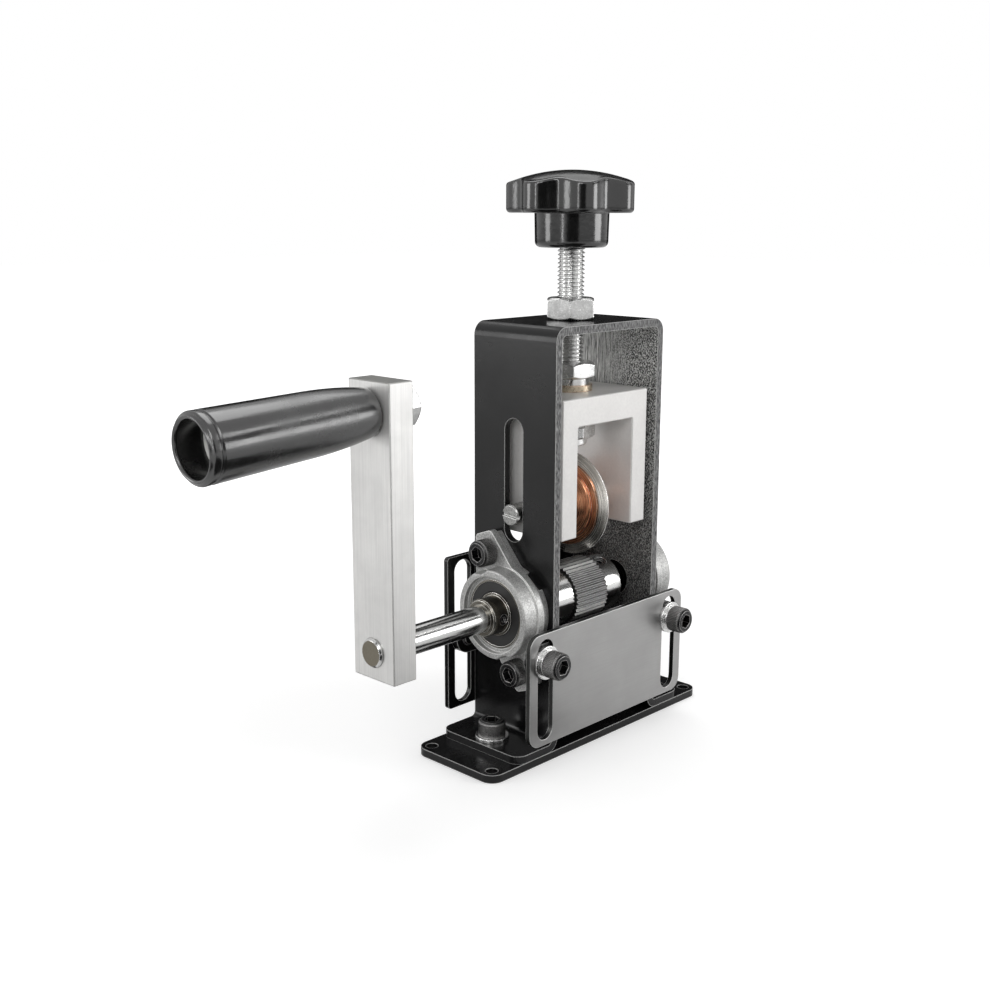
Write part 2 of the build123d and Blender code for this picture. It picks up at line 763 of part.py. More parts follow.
# Lead screw
with BuildPart() as lead_screw:
    with BuildSketch(Plane.XY.offset(rod_low)):
        Circle(rod_r)
    extrude(amount=rod_high - rod_low)
    chamfer(lead_screw.edges().filter_by(GeomType.CIRCLE), rod_chamfer)
finish(lead_screw, "lead_screw")

# Nut that the lead screw turns in, fixed on the frame
with BuildPart() as top_nut:
    with Locations(Plane.XY.offset(frame_top).rotated((0, 0, top_nut_turn))):
        add(hex_nut(nut_flats, top_nut_height, rod_r + turn_gap))
finish(top_nut, "top_nut")

# Washers and nuts that clamp the lead screw to the carriage's bridge
stack = carriage_top + face_gap
with BuildPart() as copper_washer:
    with Locations((0, 0, stack)):
        add(washer(screw_washer_r, rod_r + seat_gap, copper_washer_thick))
finish(copper_washer, "copper_washer")

stack += copper_washer_thick
with BuildPart() as split_washer:
    with Locations(Plane.XY.offset(stack).rotated((0, 0, split_angle))):
        add(split_ring(split_washer_r, split_washer_bore_r, split_washer_height, split_width))
finish(split_washer, "split_washer")

stack += split_washer_height
with BuildPart() as upper_nut:
    with Locations(Plane.XY.offset(stack).rotated((0, 0, upper_nut_turn))):
        add(hex_nut(nut_flats, upper_nut_height, rod_r + seat_gap))
finish(upper_nut, "upper_nut")

under = bridge_low - face_gap - lower_washer_thick
with BuildPart() as lower_washer:
    with Locations((0, 0, under)):
        add(washer(screw_washer_r, rod_r + seat_gap, lower_washer_thick))
finish(lower_washer, "lower_washer")

under -= lower_nut_height
with BuildPart() as lower_nut:
    with Locations(Plane.XY.offset(under).rotated((0, 0, lower_nut_turn))):
        add(hex_nut(nut_flats, lower_nut_height, rod_r + seat_gap))
    with BuildSketch(Plane.XY.offset(under)):
        Circle(lock_collar_r)
        Circle(rod_r + seat_gap, mode=Mode.SUBTRACT)
    extrude(amount=-lock_collar_height)
    rim = lower_nut.faces().sort_by(Axis.Z)[0].outer_wire()
    fillet(rim.edges(), min(lock_collar_edge_r, (lock_collar_r - rod_r) / 2))
finish(lower_nut, "lower_nut")

# Star knob: a fluted rim under a shallow dome, on a tapered hub
rim_low = knob_low + knob_hub_height
rim_high = rim_low + knob_side
dome_high = rim_high + knob_dome
flute_at = knob_r - knob_flute_depth + knob_flute_r
flute_start = knob_first_lobe + 180 / knob_lobes
dome_r = (knob_r ** 2 + knob_dome ** 2) / (2 * knob_dome)
half_r = knob_r / 2
half_high = dome_high - dome_r + sqrt(dome_r ** 2 - half_r ** 2)
hub_taper = degrees(atan2(knob_hub_top_r - knob_hub_r, knob_hub_height))
with BuildPart() as star_knob:
    with BuildSketch(Plane.XY.offset(rim_low)) as rim:
        Circle(knob_r)
        with PolarLocations(flute_at, knob_lobes, start_angle=flute_start):
            Circle(knob_flute_r, mode=Mode.SUBTRACT)
        fillet(rim.vertices(), knob_lobe_blend_r)
    extrude(amount=dome_high - rim_low)
    with BuildSketch(Plane.XZ):
        with BuildLine():
            Polyline((0, dome_high), (0, rim_low), (knob_r, rim_low), (knob_r, rim_high))
            ThreePointArc((knob_r, rim_high), (half_r, half_high), (0, dome_high))
        make_face()
    revolve(axis=Axis.Z, mode=Mode.INTERSECT)
    fillet(star_knob.faces().sort_by(Axis.Z)[-1].outer_wire().edges(), knob_top_edge_r)
    fillet(star_knob.faces().sort_by(Axis.Z)[0].outer_wire().edges(), knob_low_edge_r)
    with BuildSketch(Plane.XY.offset(rim_low)):
        Circle(knob_hub_top_r)
    extrude(amount=-knob_hub_height, taper=hub_taper)
    fillet(star_knob.edges().sort_by(Axis.Z)[0], knob_hub_edge_r)
    with BuildSketch(Plane.XY.offset(knob_low)):
        Circle(rod_r + seat_gap)
    extrude(amount=rod_high - knob_low + seat_gap, mode=Mode.SUBTRACT)
finish(star_knob, "star_knob")


# Guide plates and their bolts
def guide_plate(facing, width, low, high, corner, slot, margin):
    """Slotted plate on one face of the frame; facing is -1 at the front."""
    start = face_y + guide_gap if facing < 0 else -(face_y + guide_gap + guide_thick)
    with BuildPart() as plate:
        with BuildSketch(Plane.XZ.offset(start)):
            with Locations((0, (low + high) / 2)):
                RectangleRounded(width, high - low, corner)
            with Locations((-guide_bolt_x, (low + high) / 2), (guide_bolt_x, (low + high) / 2)):
                SlotOverall(high - low - 2 * margin, slot, rotation=90, mode=Mode.SUBTRACT)
        extrude(amount=guide_thick)
    return plate.part


with BuildPart() as front_plate:
    add(guide_plate(-1, front_plate_width, front_plate_low, front_plate_high, front_plate_corner_r,
                    front_slot_width, front_slot_margin))
finish(front_plate, "front_plate")

with BuildPart() as rear_plate:
    add(guide_plate(1, rear_plate_width, rear_plate_low, rear_plate_high, rear_plate_corner_r,
                    rear_slot_width, rear_slot_margin))
    with BuildSketch(Plane.XZ):
        with Locations((0, rear_plate_high)):
            RectangleRounded(wire_notch_width, 2 * wire_notch_depth, wire_notch_corner_r)
    extrude(amount=-frame_depth, mode=Mode.SUBTRACT)
finish(rear_plate, "rear_plate")

washer_at = face_y + guide_gap + guide_thick + face_gap
spring_at = washer_at + guide_washer_thick
head_at = spring_at + spring_washer_thick
for facing, place in ((-1, "front"), (1, "rear")):
    with BuildPart() as guide_washers:
        for side in (-1, 1):
            with Locations(Plane(origin=(side * guide_bolt_x, facing * washer_at, guide_bolt_z),
                                 x_dir=(1, 0, 0), z_dir=(0, facing, 0))):
                add(washer(guide_washer_r, screw_hole_r, guide_washer_thick))
    finish(guide_washers, f"{place}_guide_washers")

    with BuildPart() as spring_washers:
        for side in (-1, 1):
            with Locations(Plane(origin=(side * guide_bolt_x, facing * spring_at, guide_bolt_z),
                                 x_dir=(1, 0, 0), z_dir=(0, facing, 0))):
                add(split_ring(spring_washer_r, spring_washer_bore_r, spring_washer_thick,
                               spring_washer_split))
    finish(spring_washers, f"{place}_spring_washers")

    with BuildPart() as guide_bolts:
        for side in (-1, 1):
            with Locations(Plane(origin=(side * guide_bolt_x, facing * head_at, guide_bolt_z),
                                 x_dir=(1, 0, 0), z_dir=(0, facing, 0))):
                add(socket_screw(head_at - face_y + sheet + guide_bolt_past_ear))
    finish(guide_bolts, f"{place}_guide_bolts")

# One file for each piece
os.makedirs("parts", exist_ok=True)
for piece in pieces:
    export_step(piece.part, f"parts/{piece.part.label}.step")
print(len(pieces), "pieces")
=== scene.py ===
# %% [markdown]
# # A manual wire stripping machine
# A crank turns a toothed roller, and a round blade stands over it in a carriage that a screw raises. This
# lesson dresses the machine's exact model for a picture: each part gets the finish that its metal or
# plastic has, and the fine work that repeats, such as threads and knurls, is grown by Geometry Nodes.
# We begin by loading the model. Each part arrives as an object of its own, in metres, in its real place.

# %% Load the machine
import json
import math
from functools import partial
import bpy
from mathutils import Matrix, Vector


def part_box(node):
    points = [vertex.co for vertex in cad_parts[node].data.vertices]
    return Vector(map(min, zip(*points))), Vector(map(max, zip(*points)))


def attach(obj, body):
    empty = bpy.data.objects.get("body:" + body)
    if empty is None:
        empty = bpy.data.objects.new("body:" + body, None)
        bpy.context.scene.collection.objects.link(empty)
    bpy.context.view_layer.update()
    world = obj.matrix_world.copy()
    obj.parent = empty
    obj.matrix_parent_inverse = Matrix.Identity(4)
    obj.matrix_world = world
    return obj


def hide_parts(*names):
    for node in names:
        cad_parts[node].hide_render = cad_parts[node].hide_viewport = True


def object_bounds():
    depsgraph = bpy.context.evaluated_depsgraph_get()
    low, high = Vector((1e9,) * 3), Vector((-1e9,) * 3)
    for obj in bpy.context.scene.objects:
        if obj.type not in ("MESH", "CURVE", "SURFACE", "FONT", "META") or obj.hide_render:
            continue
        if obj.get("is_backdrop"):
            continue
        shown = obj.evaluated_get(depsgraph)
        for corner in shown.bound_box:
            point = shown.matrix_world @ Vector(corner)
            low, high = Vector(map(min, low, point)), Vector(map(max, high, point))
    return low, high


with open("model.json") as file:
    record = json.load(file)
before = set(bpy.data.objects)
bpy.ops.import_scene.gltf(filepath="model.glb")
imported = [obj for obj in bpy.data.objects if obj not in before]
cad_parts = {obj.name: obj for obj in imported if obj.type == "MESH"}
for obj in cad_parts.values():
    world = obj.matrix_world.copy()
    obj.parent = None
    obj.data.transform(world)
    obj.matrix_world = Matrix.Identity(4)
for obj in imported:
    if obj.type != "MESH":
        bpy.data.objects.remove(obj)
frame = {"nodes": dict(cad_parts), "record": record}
cad_low, cad_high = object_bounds()
nodes = frame["nodes"]
finish_of = {row["node"]: row["material_slot"] for row in frame["record"]["subparts"]}
MM = 0.001
SHAFT_Y, SHAFT_Z = -1.2, 54.2   # where the feed shaft's axis runs, in millimetres


def in_mm(lengths):
    """Lengths as millimetres with one decimal, to print."""
    return [round(length / MM, 1) for length in lengths]


print(len(nodes), "parts, from", in_mm(cad_low), "to", in_mm(cad_high))

# %% [markdown]
# ## The camera
# The camera stands where the photographer stood: to the left of the machine's front and a little above
# it. Its matrix is built from three directions, which must be at right angles to each other. The lens
# follows from the focal length in pixels, because both are shares of the same picture width.

# %% Place the camera
PICTURE = 990           # pixels
FOCAL_PIXELS = 1273.5
SENSOR = 36.0           # millimetres
NEAREST = 0.01
CAMERA_AT = Vector((-356.92, -308.61, 197.80)) * MM
CAMERA_RIGHT = Vector((0.69746, -0.71662, 0.00153))
CAMERA_UP = Vector((0.15647, 0.15436, 0.97555))


def in_scene(name, data):
    """Object for a mesh, a lamp or a camera, linked to the scene."""
    made = bpy.data.objects.new(name, data)
    bpy.context.scene.collection.objects.link(made)
    return made


camera_data = bpy.data.cameras.new("camera")
camera_data.sensor_width = SENSOR
camera_data.lens = SENSOR * FOCAL_PIXELS / PICTURE
camera_data.clip_start = NEAREST
camera = in_scene("camera", camera_data)
axes = Matrix((CAMERA_RIGHT, CAMERA_UP, CAMERA_RIGHT.cross(CAMERA_UP))).transposed()
camera.matrix_world = Matrix.Translation(CAMERA_AT) @ axes.to_4x4()
bpy.context.scene.camera = camera
print("lens", round(camera_data.lens, 1), "mm")

# %% [markdown]
# ## Helpers for node trees
# Every material and every Geometry Nodes tree below is a graph that the script draws. One helper adds a
# node, sets its options, and fills its inputs: a socket is linked, and anything else is a plain value.
# The others are short names for common nodes.

# %% Define the helpers
NUMBER, VECTOR, GEOMETRY = "NodeSocketFloat", "NodeSocketVector", "NodeSocketGeometry"
COUNT, MATERIAL = "NodeSocketInt", "NodeSocketMaterial"


def add_node(tree, kind, inputs=None, **options):
    """Add a node. inputs maps a socket's name or number to a value or to another node's socket."""
    made = tree.nodes.new(kind)
    for name, value in options.items():
        setattr(made, name, value)
    for key, value in (inputs or {}).items():
        if isinstance(value, bpy.types.NodeSocket):
            tree.links.new(value, made.inputs[key])
        else:
            made.inputs[key].default_value = value
    return made


def math_node(tree, operation, *values):
    """Add a Math node and return its result."""
    return add_node(tree, "ShaderNodeMath", dict(enumerate(values)), operation=operation).outputs[0]


def arithmetic(tree):
    """Short names for a tree's Math nodes: any operation, sum, difference and product."""
    number = partial(math_node, tree)
    return (number, *(partial(number, kind) for kind in ("ADD", "SUBTRACT", "MULTIPLY")))


def vector_math(tree, operation, *values):
    """Add a Vector Math node and return its result, a number for a length or a dot product."""
    made = add_node(tree, "ShaderNodeVectorMath", dict(enumerate(values)), operation=operation)
    return made.outputs["Value" if operation in ("LENGTH", "DOT_PRODUCT") else "Vector"]


def between(tree, mask, low=0.0, high=1.0, at=(0.0, 1.0)):
    """Numbers from low to high, as the mask goes from at[0] to at[1]."""
    return add_node(tree, "ShaderNodeMapRange", {"Value": mask, "From Min": at[0], "From Max": at[1],
                                                 "To Min": low, "To Max": high}).outputs[0]


def split(tree, vector):
    """The three numbers of a vector."""
    return add_node(tree, "ShaderNodeSeparateXYZ", {0: vector}).outputs


def new_group(name, kind, inputs, outputs):
    """Start a node group. inputs maps names to socket types and defaults, outputs names to types."""
    group = bpy.data.node_groups.new(name, kind)
    for title, (socket_type, default) in inputs.items():
        socket = group.interface.new_socket(title, in_out="INPUT", socket_type=socket_type)
        if default is not None:
            socket.default_value = default
    for title, socket_type in outputs.items():
        group.interface.new_socket(title, in_out="OUTPUT", socket_type=socket_type)
    start = group.nodes.new("NodeGroupInput").outputs
    end = group.nodes.new("NodeGroupOutput").inputs
    return group, start, end


# %% [markdown]
# ## Shared effects
# Five effects come back in many finishes, so each is a shader group that is built once: edges, where paint
# wears and where highlights are painted, brushed lines, turned lines, fine grain, and the soft unevenness
# that handling leaves. They read the object's own coordinates in metres, so a Scale of 1000 gives features of
# about a millimetre.

# %% Build the shared effects
BEVEL_SAMPLES = 6
WEAR_FROM_TO = (0.995, 0.88)    # cosine of the turn from the true normal, where wear starts and is full


def shader_group(name, inputs, outputs):
    """Start a shader group, and give the object's own coordinates as well."""
    group, start, end = new_group(name, "ShaderNodeTree", inputs, dict.fromkeys(outputs, NUMBER))
    return group, start, end, add_node(group, "ShaderNodeTexCoord").outputs["Object"]


def noise(tree, place, scale, **more):
    """Noise at a place; more names the node's other sockets."""
    return add_node(tree, "ShaderNodeTexNoise", {"Vector": place, "Scale": scale, **more}).outputs["Fac"]


def worn_and_highlit_edges():
    """Mask of the edges, for worn paint and painted highlights: where a slightly rounded normal leaves the
    true one, broken up by noise.
    """
    group, start, end, place = shader_group("Worn and highlit edges", {
        "Radius": (NUMBER, 0.4 * MM), "Breakup": (NUMBER, 900.0), "Evenness": (NUMBER, 0.6)}, ["Mask"])
    rounded = add_node(group, "ShaderNodeBevel", {"Radius": start["Radius"]}, samples=BEVEL_SAMPLES)
    true = add_node(group, "ShaderNodeNewGeometry").outputs["Normal"]
    edge = between(group, vector_math(group, "DOT_PRODUCT", rounded.outputs[0], true), at=WEAR_FROM_TO)
    patchy = math_node(group, "ADD", noise(group, place, start["Breakup"], Detail=3.0), start["Evenness"])
    group.links.new(math_node(group, "MULTIPLY", edge, patchy), end["Mask"])
    return group


def brushed_lines():
    """Fine lines: noise that is stretched along one direction."""
    group, start, end, place = shader_group("Brushed lines", {
        "Stretch": (VECTOR, (4000.0, 4000.0, 60.0)), "Detail": (NUMBER, 5.0)}, ["Lines"])
    stretched = vector_math(group, "MULTIPLY", place, start["Stretch"])
    group.links.new(noise(group, stretched, 1.0, Detail=start["Detail"], Roughness=0.65), end["Lines"])
    return group


def turned_lines():
    """Lines that a lathe leaves: rings round an axis, from the distance to it."""
    group, start, end, place = shader_group("Turned lines", {
        "Centre": (VECTOR, (0.0, 0.0, 0.0)), "Across": (VECTOR, (0.0, 1.0, 1.0)), "Scale": (NUMBER, 3000.0)},
        ["Lines"])
    flat = vector_math(group, "MULTIPLY", vector_math(group, "SUBTRACT", place, start["Centre"]),
                       start["Across"])
    rings = add_node(group, "ShaderNodeTexNoise", {
        "W": vector_math(group, "LENGTH", flat), "Scale": start["Scale"], "Detail": 4.0},
        noise_dimensions="1D")
    group.links.new(rings.outputs["Fac"], end["Lines"])
    return group


def fine_grain():
    """Height of a granular surface, such as a casting or textured paint."""
    group, start, end, place = shader_group("Fine grain", {
        "Scale": (NUMBER, 1500.0), "Lumps": (NUMBER, 0.5)}, ["Height", "Specks"])
    specks = noise(group, place, start["Scale"], Detail=4.0)
    cells = add_node(group, "ShaderNodeTexVoronoi", {"Vector": place, "Scale": start["Scale"]})
    lumps = math_node(group, "MULTIPLY", cells.outputs["Distance"], start["Lumps"])
    group.links.new(math_node(group, "SUBTRACT", specks, lumps), end["Height"])
    group.links.new(specks, end["Specks"])
    return group


def handling():
    """Soft, uneven patches of dust and finger marks."""
    group, start, end, place = shader_group("Handling", {"Scale": (NUMBER, 70.0)}, ["Patches"])
    patches = noise(group, place, start["Scale"], Detail=6.0, Roughness=0.6, Distortion=0.4)
    group.links.new(patches, end["Patches"])
    return group


effects = {"edges": worn_and_highlit_edges(), "brushed": brushed_lines(), "turned": turned_lines(),
           "grain": fine_grain(), "handling": handling()}
print("shared effects:", ", ".join(effects))

# %% [markdown]
# ## Finishes
# A finish starts as a Principled shader. Its constants go straight on the shader's sockets, and only
# what changes over the surface is linked: colours mixed by a mask, roughness from lines or patches, and
# a bump that sits on a normal whose edges are slightly rounded, as real edges are.

# %% Define how a finish is put together
MOST_OF_NOISE = (0.3, 0.7)      # nearly all values of a noise lie between these
finishes = {}                   # every finish, by its name


def start_finish(name, **values):
    """New material with a Principled shader whose sockets hold these constants."""
    made = bpy.data.materials.new(name)
    made.use_nodes = True
    shader = made.node_tree.nodes["Principled BSDF"]
    for title, value in values.items():
        shader.inputs[title].default_value = value
    finishes[name] = made
    return made, made.node_tree, shader


def effect(tree, name, output, **values):
    """Place a shared effect and return one of its outputs."""
    return add_node(tree, "ShaderNodeGroup", values, node_tree=effects[name]).outputs[output]


def tint(tree, mask, first, second):
    """Colour that goes from first to second with the mask."""
    mix = add_node(tree, "ShaderNodeMix", data_type="RGBA")
    tree.links.new(mask, mix.inputs["Factor"])
    for socket, colour in ((mix.inputs[6], first), (mix.inputs[7], second)):
        if isinstance(colour, bpy.types.NodeSocket):
            tree.links.new(colour, socket)
        else:
            socket.default_value = (*colour, 1.0)
    return mix.outputs[2]


def surface(tree, shader, colour, rough, height, depth, edge_radius):
    """Link colour, roughness, and a bump of a depth in metres on a normal with rounded edges."""
    tree.links.new(colour, shader.inputs["Base Color"])
    tree.links.new(rough, shader.inputs["Roughness"])
    rounded = add_node(tree, "ShaderNodeBevel", {"Radius": edge_radius}, samples=BEVEL_SAMPLES)
    bump = add_node(tree, "ShaderNodeBump", {"Height": height, "Distance": depth,
                                             "Normal": rounded.outputs[0]})
    tree.links.new(bump.outputs[0], shader.inputs["Normal"])


# %% [markdown]
# ## Black paint
# The plates are sprayed with a thin gloss black whose edges are pale grey: partly paint worn through, and
# partly a painted highlight. The frame was cut from a long strip, so its two long edges show streaked metal.
# Its inside, which a spray gun hardly reaches, is dusted with pale specks that turn into runs near the top.
# Masks from each point's place say where.

# %% Make the black paint
CUT_AT = 0.0198                 # just under half of the strip's width
FEET_BELOW = 0.009              # the feet's edges are painted well
INSIDE_AT = 0.0271              # just past the side plates' inner faces
BELOW_TOP = 0.156               # in the thickness of the frame's top
SHARP = 0.0001                  # width of the step in a mask
RUNS_BEHIND = (-0.008, 0.008)   # runs take the place of specks towards the back
RUNS_ABOVE = (0.105, 0.135)     # and towards the top
DUSTED_ABOVE = (0.06, 0.135)    # the dusting gets thicker over this height


def frame_paint(tree, colour, rough):
    """Colour and roughness of the paint where it is thin, on the cut edges and on the inside."""
    number, plus, minus, times = arithmetic(tree)
    ramp = partial(between, tree)
    x, y, z = split(tree, add_node(tree, "ShaderNodeTexCoord").outputs["Object"])
    # The strip's two long edges are where Y is near its limits
    cut = times(ramp(number("ABSOLUTE", y), at=(CUT_AT, CUT_AT + SHARP)),
                number("GREATER_THAN", z, FEET_BELOW))
    streaks = effect(tree, "brushed", "Lines", Stretch=(2500.0, 2500.0, 500.0))
    cut_colour = tint(tree, ramp(streaks, at=(0.42, 0.62)), (0.018, 0.018, 0.018), (0.27, 0.27, 0.27))
    inside = times(ramp(number("ABSOLUTE", x), 1.0, 0.0, (INSIDE_AT, INSIDE_AT + SHARP)),
                   number("LESS_THAN", z, BELOW_TOP))
    specks = effect(tree, "brushed", "Lines", Stretch=(2600.0, 2600.0, 1500.0))
    runs = effect(tree, "brushed", "Lines", Stretch=(2600.0, 2600.0, 160.0))
    back = times(ramp(y, at=RUNS_BEHIND), ramp(z, at=RUNS_ABOVE))
    dry = plus(times(ramp(runs, 0.1, 1.0, (0.40, 0.64)), back),
               times(ramp(specks, at=(0.46, 0.62)), minus(1.0, back)))
    dry = times(times(dry, ramp(z, 0.34, 1.0, DUSTED_ABOVE)), inside)
    colour = tint(tree, cut, tint(tree, dry, colour, (0.74, 0.74, 0.72)), cut_colour)
    rough = number("MAXIMUM", rough, times(inside, 0.42))
    return colour, number("MAXIMUM", rough, times(cut, 0.5))


def black_paint(name, thin=None):
    """Glossy black paint with pale edges, partly worn and partly a painted highlight; thin is a function that
    adds its thin places.
    """
    made, tree, shader = start_finish(name, IOR=1.4)
    patches = effect(tree, "handling", "Patches", Scale=45.0)
    colour = tint(tree, patches, (0.004, 0.004, 0.0045), (0.006, 0.006, 0.006))
    rough = between(tree, patches, 0.14, 0.30, MOST_OF_NOISE)
    if thin:
        colour, rough = thin(tree, colour, rough)
    # Pale grey along the edges: partly paint worn through, partly a painted highlight.
    colour = tint(tree, effect(tree, "edges", "Mask", Radius=0.5 * MM), colour, (0.52, 0.52, 0.51))
    grain = effect(tree, "grain", "Height", Scale=700.0, Lumps=0.2)
    surface(tree, shader, colour, rough, grain, 0.02 * MM, 0.5 * MM)
    return made


black_paint("black_paint")
print("paint ready")

# %% [markdown]
# ## Metals
# Most metal parts differ only in colour, gloss and the direction of their lines: along a drawn bar, round
# a turned ring, or none on plating. One function makes them all. The casting and the blackened screws
# have a grain instead of lines, so each has a function of its own.

# %% Define the metals
GRIT_LIGHTER = 1.6              # on a cut end, how much lighter the specks are than the ground


def metal(name, dull, bright, rough, stretch=(3000.0, 3000.0, 50.0), centre=None, depth=0.01 * MM,
          painted_edge_shading=None, patch=60.0, metallic=1.0, contrast=(0.12, 0.40), cut=None, corner=0.3 * MM):
    """Bare or plated metal whose colour and roughness follow its lines and its handling.

    cut is (axis, low, high, colour): faces whose normal along the axis is between low and high are cut ends.
    """
    made, tree, shader = start_finish(name, Metallic=metallic)
    patches = effect(tree, "handling", "Patches", Scale=patch)
    if centre:
        lines = effect(tree, "turned", "Lines", Centre=centre)
    else:
        lines = effect(tree, "brushed", "Lines", Stretch=stretch)
    mixed = math_node(tree, "MULTIPLY", lines, patches)
    colour = tint(tree, between(tree, mixed, at=contrast), dull, bright)
    if cut:
        axis, low, high, cut_colour = cut
        facing = split(tree, add_node(tree, "ShaderNodeTexCoord").outputs["Normal"])[axis]
        facing = math_node(tree, "COMPARE", facing, (low + high) / 2, (high - low) / 2)
        grit = effect(tree, "grain", "Specks", Scale=1800.0)
        grit = tint(tree, grit, cut_colour, [GRIT_LIGHTER * c for c in cut_colour])
        colour = tint(tree, facing, colour, grit)
    # The edge colour is painted along the edges: a painted highlight on most metals, and painted shade on the
    # crank arm.
    if painted_edge_shading:
        colour = tint(tree, effect(tree, "edges", "Mask"), colour, painted_edge_shading)
    surface(tree, shader, colour, between(tree, lines, *rough, MOST_OF_NOISE), lines, depth, corner)
    return made


def cast_zinc():
    """Die casting, blasted to a fine grey grain, with painted highlights on its edges."""
    made, tree, shader = start_finish("cast_zinc", Metallic=0.45)
    specks = effect(tree, "grain", "Specks", Scale=2200.0)
    patches = effect(tree, "handling", "Patches", Scale=110.0)
    colour = tint(tree, between(tree, specks, at=(0.35, 0.65)), (0.27, 0.27, 0.265), (0.58, 0.58, 0.57))
    # Near white along the edges: a painted highlight.
    colour = tint(tree, effect(tree, "edges", "Mask", Radius=0.6 * MM), colour, (0.95, 0.95, 0.93))
    surface(tree, shader, colour, between(tree, patches, 0.30, 0.46, MOST_OF_NOISE),
            effect(tree, "grain", "Height", Scale=1600.0), 0.07 * MM, 0.5 * MM)
    return made


def black_oxide():
    """Blackened steel screws with painted highlights on their rims."""
    made, tree, shader = start_finish("black_oxide", Metallic=0.9)
    edges = effect(tree, "edges", "Mask", Radius=0.35 * MM, Breakup=1500.0, Evenness=0.7)
    patches = effect(tree, "handling", "Patches", Scale=300.0)
    dark = between(tree, patches, at=(0.35, 0.65))
    dark = tint(tree, dark, (0.018, 0.018, 0.019), (0.060, 0.060, 0.060))
    # Pale grey on the rims: a painted highlight.
    surface(tree, shader, tint(tree, edges, dark, (0.62, 0.61, 0.60)),
            between(tree, patches, 0.24, 0.42, MOST_OF_NOISE),
            effect(tree, "grain", "Height", Scale=3000.0), 0.01 * MM, 0.2 * MM)
    return made


# %% Make the metals
SHAFT_CENTRE = (0.0, SHAFT_Y * MM, SHAFT_Z * MM)
BLADE_CENTRE = (0.0, 0.0, 0.0892)
cast_zinc()
black_oxide()
# The last colour given to each metal below is painted on its edges: a painted highlight.
metal("stainless", (0.35, 0.347, 0.344), (0.40, 0.397, 0.394), (0.38, 0.46), depth=0.004 * MM,
      stretch=(60.0, 3000.0, 3500.0), painted_edge_shading=(0.72, 0.72, 0.71), cut=(1, -0.7, 0.7, (0.045, 0.045, 0.044)))
metal("bearing_steel", (0.09, 0.083, 0.07), (0.24, 0.225, 0.195), (0.20, 0.32), centre=SHAFT_CENTRE,
      painted_edge_shading=(0.95, 0.94, 0.90))
metal("zinc_plate", (0.66, 0.66, 0.655), (0.86, 0.86, 0.85), (0.14, 0.26), depth=0.005 * MM,
      stretch=(500.0,) * 3, patch=250.0, painted_edge_shading=(1.0, 1.0, 1.0))
metal("chrome", (0.50, 0.50, 0.495), (0.80, 0.80, 0.79), (0.10, 0.22), stretch=(120.0, 4000.0, 4000.0),
      painted_edge_shading=(0.9, 0.9, 0.9))
metal("aluminium", (0.62, 0.61, 0.60), (0.70, 0.69, 0.675), (0.36, 0.48), stretch=(900.0,) * 3,
      painted_edge_shading=(0.84, 0.835, 0.82), metallic=0.35)
metal("tool_steel", (0.45, 0.435, 0.405), (0.80, 0.775, 0.73), (0.14, 0.30), centre=BLADE_CENTRE,
      painted_edge_shading=(0.95, 0.94, 0.92))
metal("roller_steel", (0.06, 0.06, 0.06), (0.20, 0.20, 0.19), (0.28, 0.45), stretch=(300.0, 3000.0, 3000.0),
      painted_edge_shading=(0.5, 0.5, 0.5))
metal("copper", (0.46, 0.15, 0.07), (0.98, 0.50, 0.29), (0.16, 0.30), centre=BLADE_CENTRE,
      painted_edge_shading=(0.95, 0.70, 0.55))
print(len(finishes), "finishes ready")

# %% [markdown]
# ## Plastics and rubber
# The knob and the grip are gloss black plastic, the bearings' seals matt rubber. Such a surface is a
# dark colour under a clear reflection, so the gloss and its faint waves do the work.

# %% Make the plastics and the rubber
PATCH_LIGHTER = 2.2


def plastic(name, colour, rough, radius, depth, ior=1.5, rubbed=None):
    """Moulded plastic with a faint unevenness in its gloss; rubbed is the stretch of long, shallow scuffs."""
    made, tree, shader = start_finish(name, IOR=ior)
    patches = effect(tree, "handling", "Patches", Scale=50.0)
    if rubbed:
        height = effect(tree, "brushed", "Lines", Stretch=rubbed)
    else:
        height = effect(tree, "grain", "Height", Scale=500.0, Lumps=0.1)
    surface(tree, shader, tint(tree, patches, colour, [PATCH_LIGHTER * c for c in colour]),
            between(tree, patches, *rough, MOST_OF_NOISE), height, depth, radius)
    return made


plastic("seal_rubber", (0.012, 0.012, 0.012), (0.30, 0.45), 0.2 * MM, 0.01 * MM)
plastic("gloss_black", (0.003, 0.003, 0.003), (0.10, 0.22), 0.5 * MM, 0.04 * MM, 1.8)
plastic("grip_black", (0.004, 0.004, 0.004), (0.12, 0.34), 0.4 * MM, 0.04 * MM, 1.9, (70.0, 700.0, 700.0))
for name, part in nodes.items():
    part.material_slots[0].material = finishes[finish_of[name]]
print(len(finishes), "finishes on", len(nodes), "parts")

# %% [markdown]
# ## Parts that differ from their kind
# Some parts share a metal with others but were made in another way: the crank arm is a drawn bar with
# a sawn end, the shaft a drawn rod with a dark cut end, and the zinc on nuts and washers is speckled.

